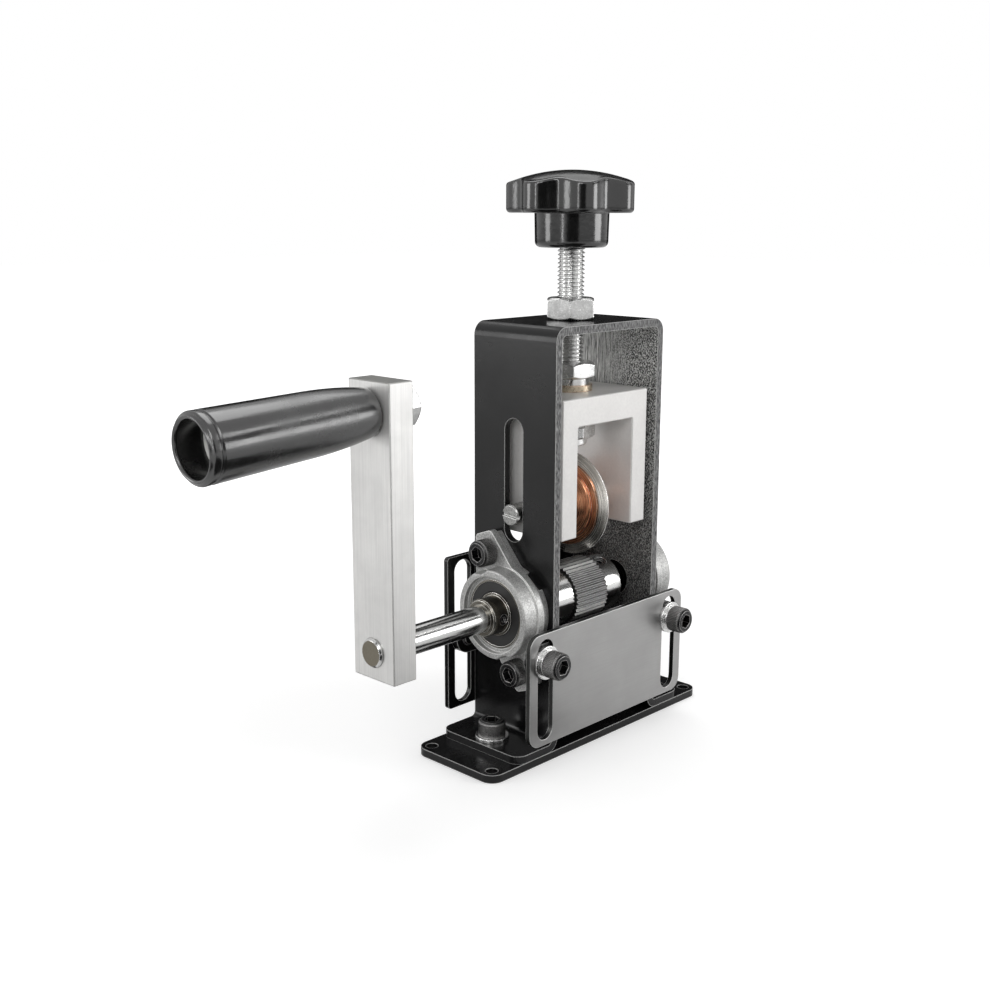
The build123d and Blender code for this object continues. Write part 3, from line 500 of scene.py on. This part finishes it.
# %% Make the finishes of single parts
finish_of_one = {
    "frame": black_paint("frame_paint", frame_paint),
    # The crank arm's edge colour is darker than its faces: painted shade. The edge colours of the other parts
    # here are painted highlights.
    "crank_arm": metal("drawn_bar", (0.62, 0.615, 0.605), (0.77, 0.765, 0.75), (0.30, 0.44),
                       depth=0.012 * MM, stretch=(2200.0, 2200.0, 25.0), painted_edge_shading=(0.30, 0.30, 0.29),
                       metallic=0.6, cut=(2, 0.7, 1.1, (0.26, 0.26, 0.25))),
    "main_shaft": metal("drawn_shaft", (0.46, 0.46, 0.455), (0.80, 0.80, 0.79), (0.10, 0.22),
                        stretch=(100.0, 3000.0, 3000.0), painted_edge_shading=(0.9, 0.9, 0.9),
                        cut=(0, -1.1, -0.9, (0.16, 0.145, 0.115))),
    "copper_washer": metal("brass_washer", (0.46, 0.38, 0.28), (0.72, 0.62, 0.48), (0.22, 0.36),
                           stretch=(900.0,) * 3, painted_edge_shading=(0.80, 0.50, 0.38)),
    "blade_axle": metal("bare_steel", (0.22, 0.22, 0.215), (0.42, 0.42, 0.41), (0.22, 0.36),
                        stretch=(900.0,) * 3, painted_edge_shading=(0.8, 0.8, 0.79)),
}
# Its white edges are a painted highlight.
speckled_zinc = metal("speckled_zinc", (0.62, 0.62, 0.615), (0.96, 0.96, 0.95), (0.16, 0.30),
                      depth=0.006 * MM, stretch=(1800.0,) * 3, patch=300.0,
                      painted_edge_shading=(1.0, 1.0, 1.0), corner=0.6 * MM)
for name in nodes:
    if name.endswith(("_nut", "_washers")):
        finish_of_one[name] = speckled_zinc
for name, finish in finish_of_one.items():
    nodes[name].material_slots[0].material = finish
print("own finishes:", ", ".join(finish_of_one))

# %% [markdown]
# ## Helpers for shapes
# A grown piece starts as a plain block, and a rule moves its points. Its tree ends by making instances
# real and giving them their material. The modifier needs an object to work on: grow() sets the tree's
# inputs by their identifiers, takes the finished mesh from the evaluated object, and leaves a plain mesh
# with no modifier, standing at the origin with its place in its points.

# %% Define the helpers for shapes
def piece_tree(name, sizes):
    """Start a tree for a piece, with its sizes and its material as inputs."""
    inputs = {**sizes, "Material": (MATERIAL, None)}
    return new_group(name, "GeometryNodeTree", inputs, {"Geometry": GEOMETRY})


def end_tree(tree, geometry, start, end):
    """End a piece's tree."""
    real = add_node(tree, "GeometryNodeRealizeInstances", {0: geometry})
    coated = add_node(tree, "GeometryNodeSetMaterial", {
        "Geometry": real.outputs[0], "Material": start["Material"]})
    tree.links.new(coated.outputs[0], end["Geometry"])


def block(tree, **sizes):
    """Cylinder, or a prism with few Vertices; an underscore stands for a space in a socket's name."""
    sizes = {title.replace("_", " "): value for title, value in sizes.items()}
    return add_node(tree, "GeometryNodeMeshCylinder", sizes).outputs["Mesh"]


def vector_of(tree, x=0.0, y=0.0, z=0.0):
    """One vector from three numbers."""
    return add_node(tree, "ShaderNodeCombineXYZ", {0: x, 1: y, 2: z}).outputs[0]


def points_of(tree):
    """X, Y and Z of each point of the shape that is being moved."""
    return split(tree, add_node(tree, "GeometryNodeInputPosition").outputs[0])


def reshaped(tree, geometry, x, y, z):
    """Shape with its points moved to new places."""
    return add_node(tree, "GeometryNodeSetPosition", {
        "Geometry": geometry, "Position": vector_of(tree, x, y, z)}).outputs[0]


def placed(tree, geometry, **how):
    """Shape moved by Translation or turned by Rotation."""
    return add_node(tree, "GeometryNodeTransform", {"Geometry": geometry, **how}).outputs[0]


def joined(tree, *shapes):
    """Several shapes as one."""
    made = add_node(tree, "GeometryNodeJoinGeometry")
    for shape in shapes:
        tree.links.new(shape, made.inputs[0])
    return made.outputs[0]


def boolean(tree, operation, first, *others):
    """What shapes have in common (INTERSECT), or the first without the others (DIFFERENCE)."""
    made = add_node(tree, "GeometryNodeMeshBoolean", operation=operation, solver="EXACT")
    tree.links.new(first, made.inputs[0 if operation == "DIFFERENCE" else 1])
    for other in others:
        tree.links.new(other, made.inputs[1])
    return made.outputs[0]


# %% Define how a tree becomes a piece
def new_piece(name, mesh, body, stands_for):
    """Object for a finished mesh, on its body, in the place of a part of the exact model."""
    piece = in_scene(name, mesh)
    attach(piece, body)
    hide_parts(stands_for)
    return piece


def grow(name, tree, body, slot, stands_for, **values):
    """Run a tree once and keep its result as a plain piece that takes the place of a part."""
    source = in_scene(name + "_tree", bpy.data.meshes.new(name + "_tree"))
    modifier = source.modifiers.new("tree", "NODES")
    modifier.node_group = tree
    identifiers = {item.name: item.identifier for item in tree.interface.items_tree if item.in_out == "INPUT"}
    for title, value in values.items():
        modifier[identifiers[title]] = value
    ready = source.evaluated_get(bpy.context.evaluated_depsgraph_get())
    mesh = bpy.data.meshes.new_from_object(ready)
    source.modifiers.remove(modifier)
    bpy.data.objects.remove(source)
    mesh.name = name
    corners = [in_mm(pick(v.co[i] for v in mesh.vertices) for i in range(3)) for pick in (min, max)]
    print(name, len(mesh.polygons), "faces, from", corners[0], "to", corners[1], "in mm")
    return new_piece(name, mesh, body, stands_for)


# %% [markdown]
# ## Threads
# A thread is a rule: the radius rises and falls with the height and with the turn about the axis, so one
# pitch up and one turn round come to the same place. A plain cylinder with many rows is enough. A Set
# Position node moves each point in or out by that rule, and thins both ends to the thread's root, as the
# chamfer on a real screw does. The group below does this for a rod of any size.

# %% Build the thread
CREST_TO_ROOT = (0.12, 0.80)    # shares of half a pitch at which the flat crest ends and the root begins


def threaded_rod():
    """Group: a rod from Z = 0 down to -Length, with a thread of the given pitch and depth."""
    group, start, end = new_group("Threaded rod", "GeometryNodeTree", {
        "Radius": (NUMBER, 3.0 * MM), "Length": (NUMBER, 9.0 * MM), "Pitch": (NUMBER, 1.0 * MM),
        "Depth": (NUMBER, 0.5 * MM), "Around": (COUNT, 36), "Rows": (COUNT, 90)}, {"Rod": GEOMETRY})
    number, _, minus, times = arithmetic(group)
    x, y, z = points_of(group)
    turn = number("DIVIDE", number("ARCTAN2", y, x), math.tau)
    phase = number("FRACT", minus(number("DIVIDE", z, start["Pitch"]), turn))
    valley = number("ABSOLUTE", number("MULTIPLY_ADD", phase, 2.0, -1.0))
    thread = times(between(group, valley, at=CREST_TO_ROOT), start["Depth"])
    half = times(start["Length"], 0.5)
    to_end = minus(half, number("ABSOLUTE", z))
    cut = number("MAXIMUM", thread, minus(start["Depth"], to_end))
    share = minus(1.0, number("DIVIDE", cut, start["Radius"]))
    rod = block(group, Vertices=start["Around"], Side_Segments=start["Rows"], Radius=start["Radius"],
                Depth=start["Length"])
    rod = reshaped(group, rod, times(x, share), times(y, share), minus(z, half))
    group.links.new(rod, end["Rod"])
    return group


thread_group = threaded_rod()
print("thread group with", len(thread_group.nodes), "nodes")

# %% [markdown]
# ## The lead screw
# The rod that the knob turns is an M10 screw with a 1.5 mm pitch. It stands upright, so the tree only
# lifts the threaded rod to its height.

# %% Grow the lead screw
ROD_THREAD = {"Pitch": 1.5 * MM, "Depth": 0.85 * MM, "Around": 40}
ROWS_IN_PITCH = 10
rod_low, rod_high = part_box("lead_screw")
rod_length = rod_high[2] - rod_low[2]
tree, start, end = piece_tree("Lead screw", {
    "Radius": (NUMBER, None), "Length": (NUMBER, None), "Top": (VECTOR, None)})
rod = add_node(tree, "GeometryNodeGroup", {
    "Radius": start["Radius"], "Length": start["Length"], **ROD_THREAD,
    "Rows": round(rod_length / ROD_THREAD["Pitch"] * ROWS_IN_PITCH)}, node_tree=thread_group)
end_tree(tree, placed(tree, rod.outputs[0], Translation=start["Top"]), start, end)
grow("threaded_rod", tree, "screw", "zinc_plate", "lead_screw", Radius=(rod_high[0] - rod_low[0]) / 2,
     Length=rod_length, Top=(0.0, 0.0, rod_high[2]), Material=finishes["zinc_plate"])

# %% [markdown]
# ## Socket screws
# Ten socket screws hold the machine together, and they are all the same but for their length. The head is a
# cylinder whose wall is pushed in and out for the knurl, with a chamfer at the top. A six-sided prism
# cuts the socket. The shank is the threaded rod from before. One screw is made at the origin, and copies
# of it are turned and moved to their places.

# %% Build the socket screw
KNURLS, POINTS_IN_KNURL, HEAD_ROWS = 48, 4, 12
SHANK_THREAD = {"Pitch": 1.0 * MM, "Depth": 0.55 * MM, "Around": 28, "Rows": 60}


def socket_screws(places):
    """Tree: the same screw at each place, a point with the direction out of the head and a turn about it."""
    tree, start, end = piece_tree("Socket screws", {
        "Head radius": (NUMBER, 5.0 * MM), "Head height": (NUMBER, 6.0 * MM), "Chamfer": (NUMBER, 0.9 * MM),
        "Knurl depth": (NUMBER, 0.14 * MM), "Socket radius": (NUMBER, 2.89 * MM),
        "Socket depth": (NUMBER, 3.2 * MM), "Shank radius": (NUMBER, 2.98 * MM),
        "Shank length": (NUMBER, 9.0 * MM)})
    number, plus, minus, times = arithmetic(tree)
    x, y, z = points_of(tree)
    height = plus(z, times(start["Head height"], 0.5))
    below_top = minus(start["Head height"], height)
    # The knurl's wave ends where the chamfer begins
    wave = number("COSINE", times(number("ARCTAN2", y, x), float(KNURLS)))
    wave = times(number("MULTIPLY_ADD", wave, -0.5, 0.5), start["Knurl depth"])
    wave = times(wave, number("GREATER_THAN", below_top, start["Chamfer"]))
    slope = number("MAXIMUM", minus(start["Chamfer"], below_top), 0.0)
    share = minus(1.0, number("DIVIDE", number("MAXIMUM", wave, slope), start["Head radius"]))
    head = block(tree, Vertices=KNURLS * POINTS_IN_KNURL, Side_Segments=HEAD_ROWS,
                 Radius=start["Head radius"], Depth=start["Head height"])
    head = reshaped(tree, head, times(x, share), times(y, share), height)
    prism = block(tree, Vertices=6, Radius=start["Socket radius"], Depth=start["Head height"])
    up = minus(times(start["Head height"], 1.5), start["Socket depth"])
    prism = placed(tree, prism, Translation=vector_of(tree, z=up))
    shank = add_node(tree, "GeometryNodeGroup", {
        "Radius": start["Shank radius"], "Length": start["Shank length"], **SHANK_THREAD},
        node_tree=thread_group)
    screw = joined(tree, boolean(tree, "DIFFERENCE", head, prism), shank.outputs[0])
    copies = []
    for point, direction, turn in places:
        to_place = Vector(direction).to_track_quat("Z", "Y").to_matrix() @ Matrix.Rotation(turn, 3, "Z")
        copies.append(placed(tree, screw, Translation=Vector(point) * MM, Rotation=to_place.to_euler()))
    end_tree(tree, joined(tree, *copies), start, end)
    return tree


print("a knurl has", KNURLS, "ridges")

# %% Grow the socket screws
SIDES = (-1, 1)
HEAD_OUT = 42.2 - 6.0   # underside of a bearing bolt's head, from the machine's middle
LUG_OUT = 22.5          # a bearing bolt's axis, from the shaft's
LUG_TILT = math.radians(20.8)
LUG_Y, LUG_Z = LUG_OUT * math.sin(LUG_TILT), LUG_OUT * math.cos(LUG_TILT)
FOOT_X, FOOT_Z = 41.0, 7.4
GUIDE_X, GUIDE_Y, GUIDE_Z = 36.3, 24.55, 40.0
# Each place is a point in millimetres, a direction, and how far that screw happens to be turned
screw_sets = {
    "bearing": (9.2, [((side * HEAD_OUT, SHAFT_Y + way * LUG_Y, SHAFT_Z + way * LUG_Z), (side, 0, 0),
                       0.35 + 0.4 * way) for side in SIDES for way in SIDES]),
    "foot": (7.0, [((side * FOOT_X, 0.0, FOOT_Z), (0, 0, 1), 0.3 + side) for side in SIDES]),
    "front_guide": (8.55, [((side * GUIDE_X, -GUIDE_Y, GUIDE_Z), (0, -1, 0), 0.2 + 0.35 * side)
                           for side in SIDES]),
    "rear_guide": (8.55, [((side * GUIDE_X, GUIDE_Y, GUIDE_Z), (0, 1, 0), 0.5 * side) for side in SIDES]),
}
for name, (length, places) in screw_sets.items():
    grow(name + "_screws", socket_screws(places), "base", "black_oxide", name + "_bolts",
         **{"Shank length": length * MM, "Material": finishes["black_oxide"]})

# %% [markdown]
# ## Hexagon nuts
# A nut is a six-sided bar, faced off in a lathe, which leaves a cone at each end that cuts an arc into every
# flat. The tree keeps what the bar and two cones have in common, and takes the bore away.

# %% Grow the two large nuts
ROOT_3 = math.sqrt(3.0)         # a cone that falls at 30 degrees widens by this much of its height
FACING_AROUND, BORE_AROUND = 96, 64


def nut_tree():
    """Tree: a nut standing at a height, with a corner in the direction Turn."""
    tree, start, end = piece_tree("Hexagon nut", {
        "Flats": (NUMBER, 17.0 * MM), "Height": (NUMBER, 8.0 * MM), "Bore": (NUMBER, 5.1 * MM),
        "Face": (NUMBER, 7.9 * MM), "Low": (NUMBER, 0.0), "Turn": (NUMBER, 0.0)})
    number = partial(math_node, tree)
    bar = block(tree, Vertices=6, Radius=number("DIVIDE", start["Flats"], ROOT_3), Depth=start["Height"])
    bar = placed(tree, bar, Rotation=vector_of(tree, z=start["Turn"]))
    centred = vector_of(tree, z=number("MULTIPLY", start["Height"], -0.5))
    wide = number("MULTIPLY_ADD", start["Height"], ROOT_3, start["Face"])
    cones = []
    for low_radius, high_radius in ((start["Face"], wide), (wide, start["Face"])):
        cone = add_node(tree, "GeometryNodeMeshCone", {
            "Vertices": FACING_AROUND, "Radius Bottom": low_radius, "Radius Top": high_radius,
            "Depth": start["Height"]}).outputs["Mesh"]
        cones.append(placed(tree, cone, Translation=centred))
    faced = boolean(tree, "INTERSECT", bar, *cones)
    through = number("MULTIPLY", start["Height"], 2.0)
    bore = block(tree, Vertices=BORE_AROUND, Radius=start["Bore"], Depth=through)
    up = number("MULTIPLY_ADD", start["Height"], 0.5, start["Low"])
    nut = placed(tree, boolean(tree, "DIFFERENCE", faced, bore), Translation=vector_of(tree, z=up))
    end_tree(tree, nut, start, end)
    return tree


for name, part, body, turn in (("frame_nut", "top_nut", "base", 40.9),
                               ("clamp_nut", "upper_nut", "screw", 49.5)):
    nut_low, nut_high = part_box(part)
    grow(name, nut_tree(), body, "zinc_plate", part, Height=nut_high[2] - nut_low[2], Low=nut_low[2],
         Turn=math.radians(turn), Material=speckled_zinc)

# %% [markdown]
# ## The star knob
# The knob follows a rule as well. Seen from above its outline is a circle whose radius falls seven times
# into a flute. Its top is part of a sphere, so the edge is highest where a flute cuts in. The tree starts
# with a cylinder of radius 1 and height 1 and moves each point: the side by the outline, the ends by the
# sphere and the flat underside, and the rows next to the ends round the edges.

# %% Grow the star knob
DISC_AROUND, HUB_AROUND = 7 * 32, 96
SHELL_ROWS, SHELL_RINGS = 24, 12
ROWS_SHARE = 4.0                # one row in four goes round each edge
TOP_END = 0.999                 # points above this share of the height are on the top end
HUB_TOP_EDGE = 0.2 * MM


def knob_tree():
    """Tree: a lobed disc under a shallow dome, on a tapered hub."""
    tree, start, end = piece_tree("Star knob", {
        "Radius": (NUMBER, 23.8 * MM), "Flute depth": (NUMBER, 3.9 * MM), "Lobes": (NUMBER, 7.0),
        "First lobe": (NUMBER, math.radians(27.0)), "Flatness": (NUMBER, 1.2), "Low": (NUMBER, 196.2 * MM),
        "Side": (NUMBER, 10.3 * MM), "Dome": (NUMBER, 4.8 * MM), "Top edge": (NUMBER, 1.1 * MM),
        "Low edge": (NUMBER, 1.5 * MM), "Hub radius": (NUMBER, 13.7 * MM), "Hub taper": (NUMBER, 0.5 * MM),
        "Hub low": (NUMBER, 184.0 * MM), "Hub edge": (NUMBER, 2.0 * MM)})
    number, plus, minus, times = arithmetic(tree)
    rest_of = partial(minus, 1.0)

    def square(value):
        return times(value, value)

    x, y, z = points_of(tree)
    out = number("SQRT", plus(square(x), square(y)))
    angle = number("ARCTAN2", y, x)
    up = plus(z, 0.5)

    def rounded(edge, share):
        """How far an edge pulls in and down where share goes from 0 at its end to 1 at the wall."""
        turn = times(share, math.pi / 2)
        return [times(edge, rest_of(number(kind, turn))) for kind in ("SINE", "COSINE")]

    def shell(radius, low, low_edge, top_at, top_edge, around):
        """Closed shell from low to top_at(distance from the axis), with rounded edges."""
        low_share = number("MINIMUM", times(up, ROWS_SHARE), 1.0)
        top_share = number("MINIMUM", times(rest_of(up), ROWS_SHARE), 1.0)
        low_in, low_up = rounded(low_edge, low_share)
        top_in, top_down = rounded(top_edge, top_share)
        wall = minus(minus(radius, low_in), top_in)
        distance = times(wall, out)
        top_z = minus(top_at(minus(radius, top_edge)), top_down)
        low_z = plus(low, low_up)
        middle = number("MINIMUM", number("MAXIMUM", number("MULTIPLY_ADD", up, 2.0, -0.5), 0.0), 1.0)
        side_z = plus(times(low_z, rest_of(middle)), times(top_z, middle))
        on_top = number("GREATER_THAN", up, TOP_END)
        height = plus(times(side_z, rest_of(on_top)), times(top_at(distance), on_top))
        drum = add_node(tree, "GeometryNodeMeshCylinder", {
            "Vertices": around, "Side Segments": SHELL_ROWS, "Fill Segments": SHELL_RINGS, "Radius": 1.0,
            "Depth": 1.0}, fill_type="TRIANGLE_FAN").outputs["Mesh"]
        return reshaped(tree, drum, times(distance, number("COSINE", angle)),
                        times(distance, number("SINE", angle)), height)

    wave = times(minus(angle, start["First lobe"]), start["Lobes"])
    wave = number("MULTIPLY_ADD", number("COSINE", wave), -0.5, 0.5)
    flute = times(number("POWER", wave, start["Flatness"]), start["Flute depth"])
    outline = minus(start["Radius"], flute)
    # The ball through the dome's top and rim
    ball = number("DIVIDE", plus(square(start["Radius"]), square(start["Dome"])), times(start["Dome"], 2.0))
    rim_top = plus(start["Low"], start["Side"])
    ball_low = minus(plus(rim_top, start["Dome"]), ball)

    def dome_at(distance):
        return plus(ball_low, number("SQRT", minus(square(ball), square(distance))))

    disc = shell(outline, start["Low"], start["Low edge"], dome_at, start["Top edge"], DISC_AROUND)
    hub_wall = minus(start["Hub radius"], times(rest_of(up), start["Hub taper"]))
    hub_top = plus(start["Low"], start["Low edge"])
    hub = shell(hub_wall, start["Hub low"], start["Hub edge"], lambda distance: hub_top, HUB_TOP_EDGE,
                HUB_AROUND)
    smooth = add_node(tree, "GeometryNodeSetShadeSmooth", {"Geometry": joined(tree, disc, hub)})
    end_tree(tree, smooth.outputs[0], start, end)
    return tree


grow("lobed_knob", knob_tree(), "screw", "gloss_black", "star_knob", Material=finishes["gloss_black"])

# %% [markdown]
# ## Turned parts
# The feed shaft and the grip are lathe work: a profile swept round an axis. A short function places a ring
# of points for each corner of the profile and joins the rings with faces. A solid profile starts and ends
# on the axis, and a hollow one closes on itself. Edges sharper than 30 degrees stay crisp.

# %% Define the lathe
AROUND = 96
CRISP = math.radians(30)


def turned_piece(name, profile, at, along, body, stands_for, materials, second=()):
    """Piece turned round a line; profile is (distance along it, radius) pairs in millimetres.

    Faces between the profile's points that second names get the second material.
    """
    along = Vector(along).normalized()
    across = along.cross(Vector((0, 1, 0))).normalized()
    aside = along.cross(across)
    points, rings, faces, marks = [], [], [], []
    for distance, radius in profile:
        rings.append(range(len(points), len(points) + (AROUND if radius else 1)))
        for i in range(len(rings[-1])):
            turn = math.tau * i / AROUND
            outward = across * math.cos(turn) + aside * math.sin(turn)
            points.append((Vector(at) + along * distance + outward * radius) * MM)
    hollow = all(radius for distance, radius in profile)
    for n in range(len(profile) if hollow else len(profile) - 1):
        a, b = rings[n], rings[(n + 1) % len(rings)]
        for i in range(AROUND):
            j = (i + 1) % AROUND
            corners = (a[i % len(a)], a[j % len(a)], b[j % len(b)], b[i % len(b)])
            faces.append(tuple(dict.fromkeys(corners)))
            marks.append(1 if n in second else 0)
    mesh = bpy.data.meshes.new(name)
    mesh.from_pydata(points, [], faces)
    for face, mark in zip(mesh.polygons, marks):
        face.use_smooth = True
        face.material_index = mark
    mesh.set_sharp_from_angle(angle=CRISP)
    for finish in materials:
        mesh.materials.append(finish)
    print(name, len(faces), "faces round", [round(v, 2) for v in along])
    return new_piece(name, mesh, body, stands_for)


# %% Turn the shaft
PROUD = 1.3             # the shaft's end stands out of the crank arm
CHAMFER = 0.6
shaft_low, shaft_high = (corner / MM for corner in map(Vector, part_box("main_shaft")))
shaft_r = (shaft_high.z - shaft_low.z) / 2
shaft_length = shaft_high.x - shaft_low.x + PROUD
shaft_profile = [(0, 0), (0, shaft_r - CHAMFER), (CHAMFER, shaft_r), (shaft_length - CHAMFER, shaft_r),
                 (shaft_length, shaft_r - CHAMFER), (shaft_length, 0)]
turned_piece("feed_shaft", shaft_profile, (shaft_low.x - PROUD, SHAFT_Y, SHAFT_Z), (1, 0, 0), "crank",
             "main_shaft", [finish_of_one["main_shaft"]])

# %% [markdown]
# ## The grip
# The grip swells along one long arc to a lip with a bead and a groove. Its outer end is bored for the
# spindle's head. The step in the bore is painted pale grey, a painted highlight where light catches it deep
# in the bore, so its faces get a second material.

# %% Turn the grip
DROOP = math.radians(3.1)       # the spindle's end hangs a little
GRIP_FROM = (-98.3, SHAFT_Y, 134.7)
WAIST_R, WAIST_MIDDLE = 153.48, (27.36, -143.15)
WAIST_AT = (3, 6, 9, 12, 15, 18, 21, 24.2)
BORE_R, SPINDLE_R = 8.7, 4.05


def waist(distance):
    """Radius of the grip where it swells from the arm's end, along a long arc."""
    return WAIST_MIDDLE[1] + math.sqrt(WAIST_R ** 2 - (distance - WAIST_MIDDLE[0]) ** 2)


def round_corner(middle, radius, first, last, steps=6):
    """Points on an arc, with the angles in degrees from the axis's direction."""
    turns = [math.radians(first + (last - first) * i / steps) for i in range(steps + 1)]
    return [(middle[0] + radius * math.cos(t), middle[1] + radius * math.sin(t)) for t in turns]


near_end = [(0.7, SPINDLE_R), (0.7, 6.8)] + round_corner((1.9, 6.85), 1.2, 180, 95)
swell = [(distance, waist(distance)) for distance in WAIST_AT]
groove = [(61.3, 11.06), (61.6, 10.85), (61.8, 10.6), (62.1, 10.6), (62.3, 10.85), (62.6, 11.05)]
lip = round_corner((63.9, 9.95), 1.15, 80, 20) + round_corner((64.8, 9.6), 0.9, 10, -80, 4)
bore = [(64.5, BORE_R), (55.7, BORE_R), (55.2, 6.9), (54.2, 6.9), (39.7, 6.9), (39.7, SPINDLE_R)]
outside = near_end + swell + groove + lip
step = len(outside) + 1         # the step in the bore starts at the bore's second point
# Pale grey plastic for the step in the bore: a painted highlight.
painted_light_plastic = plastic("painted_light_plastic", (0.40, 0.40, 0.385), (0.15, 0.25), 0.3 * MM, 0.02 * MM, 1.7)
turned_piece("turned_grip", outside + bore, GRIP_FROM, (-math.cos(DROOP), 0, -math.sin(DROOP)), "grip",
             "grip", [finishes["grip_black"], painted_light_plastic], (step, step + 1))

# %% [markdown]
# ## Light and background
# A product picture has soft light and a plain white ground. To the camera the world and the floor are
# white. The other rays meet a dimmer world, so the lamps shape the machine. Polished black parts are all
# reflection: they need a few bright panels, and darkness between them.

# %% Set the stage
WHITE_TO_EYE = 1.0
WORLD_IN_METAL = 0.82
FILL = 0.42
WHITE = (1.0, 1.0, 1.0, 1.0)

world = bpy.data.worlds.new("studio")
bpy.context.scene.world = world
world.use_nodes = True
tree = world.node_tree
background = tree.nodes["Background"]
path = add_node(tree, "ShaderNodeLightPath").outputs
mirrored = math_node(tree, "MAXIMUM", path["Is Glossy Ray"], path["Is Transmission Ray"])
strength = between(tree, path["Is Camera Ray"], between(tree, mirrored, FILL, WORLD_IN_METAL), WHITE_TO_EYE)
background.inputs["Color"].default_value = WHITE
tree.links.new(strength, background.inputs["Strength"])
print("white to the camera, and", WORLD_IN_METAL, "in reflections")

# %% Lay the floor
FLOOR_HALF = 4.0
FLOOR_DROP = 0.05 * MM
FLOOR_COLOUR = (0.8, 0.8, 0.8, 1.0)
FLOOR_GLOW = (0.34, 0.78)       # what the camera sees on top of the lit floor, near and far
GLOW_FROM_TO = (0.12, 0.60)     # metres from the machine's middle
FLOOR_IN_METAL = 0.05


def flat_panel(name, middle, across, up, material):
    """Rectangle of one face in the scene, from its middle and its two half sides."""
    middle, across, up = Vector(middle), Vector(across), Vector(up)
    mesh = bpy.data.meshes.new(name)
    mesh.from_pydata([middle - across - up, middle + across - up, middle + across + up, middle - across + up],
                     [], [(0, 1, 2, 3)])
    mesh.materials.append(material)
    panel = in_scene(name, mesh)
    panel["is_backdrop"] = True
    return panel


floor_white = bpy.data.materials.new("floor_white")
floor_white.use_nodes = True
tree = floor_white.node_tree
tree.nodes.clear()
path = add_node(tree, "ShaderNodeLightPath").outputs
far = vector_math(tree, "LENGTH", add_node(tree, "ShaderNodeTexCoord").outputs["Object"])
glow = math_node(tree, "MULTIPLY", path["Is Camera Ray"], between(tree, far, *FLOOR_GLOW, GLOW_FROM_TO))
glow = math_node(tree, "ADD", glow, math_node(tree, "MULTIPLY", path["Is Glossy Ray"], FLOOR_IN_METAL))
matte = add_node(tree, "ShaderNodeBsdfDiffuse", {"Color": FLOOR_COLOUR})
shine = add_node(tree, "ShaderNodeEmission", {"Color": WHITE, "Strength": glow})
both = add_node(tree, "ShaderNodeAddShader", {0: matte.outputs[0], 1: shine.outputs[0]})
add_node(tree, "ShaderNodeOutputMaterial", {"Surface": both.outputs[0]})
flat_panel("floor", (0, 0, -FLOOR_DROP), (FLOOR_HALF, 0, 0), (0, FLOOR_HALF, 0), floor_white)
print("floor", 2 * FLOOR_HALF, "m wide")

# %% [markdown]
# ## Panels and dark cards
# Two tall panels stand right of the front and left of the back, where the flat sides of the machine mirror
# them. A thin strip draws the long bright lines on the knob and the grip. Cards that only reflections see
# give the black faces something dark to mirror: behind the machine and over its front for the level tops,
# round the lens for what faces the camera, and on the floor for the upright sides.

# %% Hang the lamps
MIDDLE = (0.0, 0.0, 0.09)
LAMPS = {   # where it hangs and its size in metres, and its power
    "front right panel": ((0.66, -0.80, 0.42), (0.50, 0.75), 5.2),
    "left key": ((-0.85, -0.50, 0.60), (0.45, 0.45), 2.6),
    "left back panel": ((-0.79, 0.62, 0.30), (0.30, 0.50), 1.6),
    "left strip": ((-0.97, -0.22, 0.25), (0.06, 0.50), 0.6),
    "top": ((0.25, 0.25, 1.0), (0.7, 0.7), 3.4),
}
for name, (at, size, power) in LAMPS.items():
    lamp = bpy.data.lights.new(name, "AREA")
    lamp.shape = "RECTANGLE"
    lamp.size, lamp.size_y = size
    lamp.energy = power
    hung = in_scene(name, lamp)
    hung.location = at
    hung.rotation_euler = (Vector(MIDDLE) - Vector(at)).to_track_quat("-Z", "Y").to_euler()
print(len(LAMPS), "lamps aim at", in_mm(MIDDLE), "mm")

# %% Set up the dark cards
CARDS = {   # a card's middle and its two half sides, in metres
    "card behind": ((0.60, 0.55, 0.31), (0.48, -0.50, 0), (0, 0, 0.31)),
    "card round the lens": ((-0.62, -0.60, 0.24), (0.20, -0.20, 0), (0, 0, 0.24)),
    "card under the crank": ((-0.17, -0.20, 0.001), (0.17, 0, 0), (0, 0.16, 0)),
    "card beside the frame": ((-0.095, 0.075, 0.001), (0.045, 0, 0), (0, 0.055, 0)),
    "card over the front": ((0.286, -0.347, 0.325), (0.170, 0.140, 0), (0, 0, 0.085)),
}
card_black, _, card_shader = start_finish("card_black")
card_shader.inputs["Base Color"].default_value = (0.02, 0.02, 0.02, 1.0)
card_shader.inputs["Specular IOR Level"].default_value = 0.0
for name, sides in CARDS.items():
    card = flat_panel(name, *sides, card_black)
    for kind in ("camera", "diffuse", "shadow"):
        setattr(card, "visible_" + kind, False)
bpy.context.scene.view_settings.view_transform = "Standard"
print(len(CARDS), "dark cards that only reflections see")

# %% [markdown]
# ## Sizes
# Dressing the machine must not make it bigger. The box of the exact model was printed when it was loaded, and
# the size of the dressed one is printed here.

# %% Write the sizes and finish
visual_low, visual_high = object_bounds()
print("dressed size", in_mm(b - a for a, b in zip(visual_low, visual_high)))
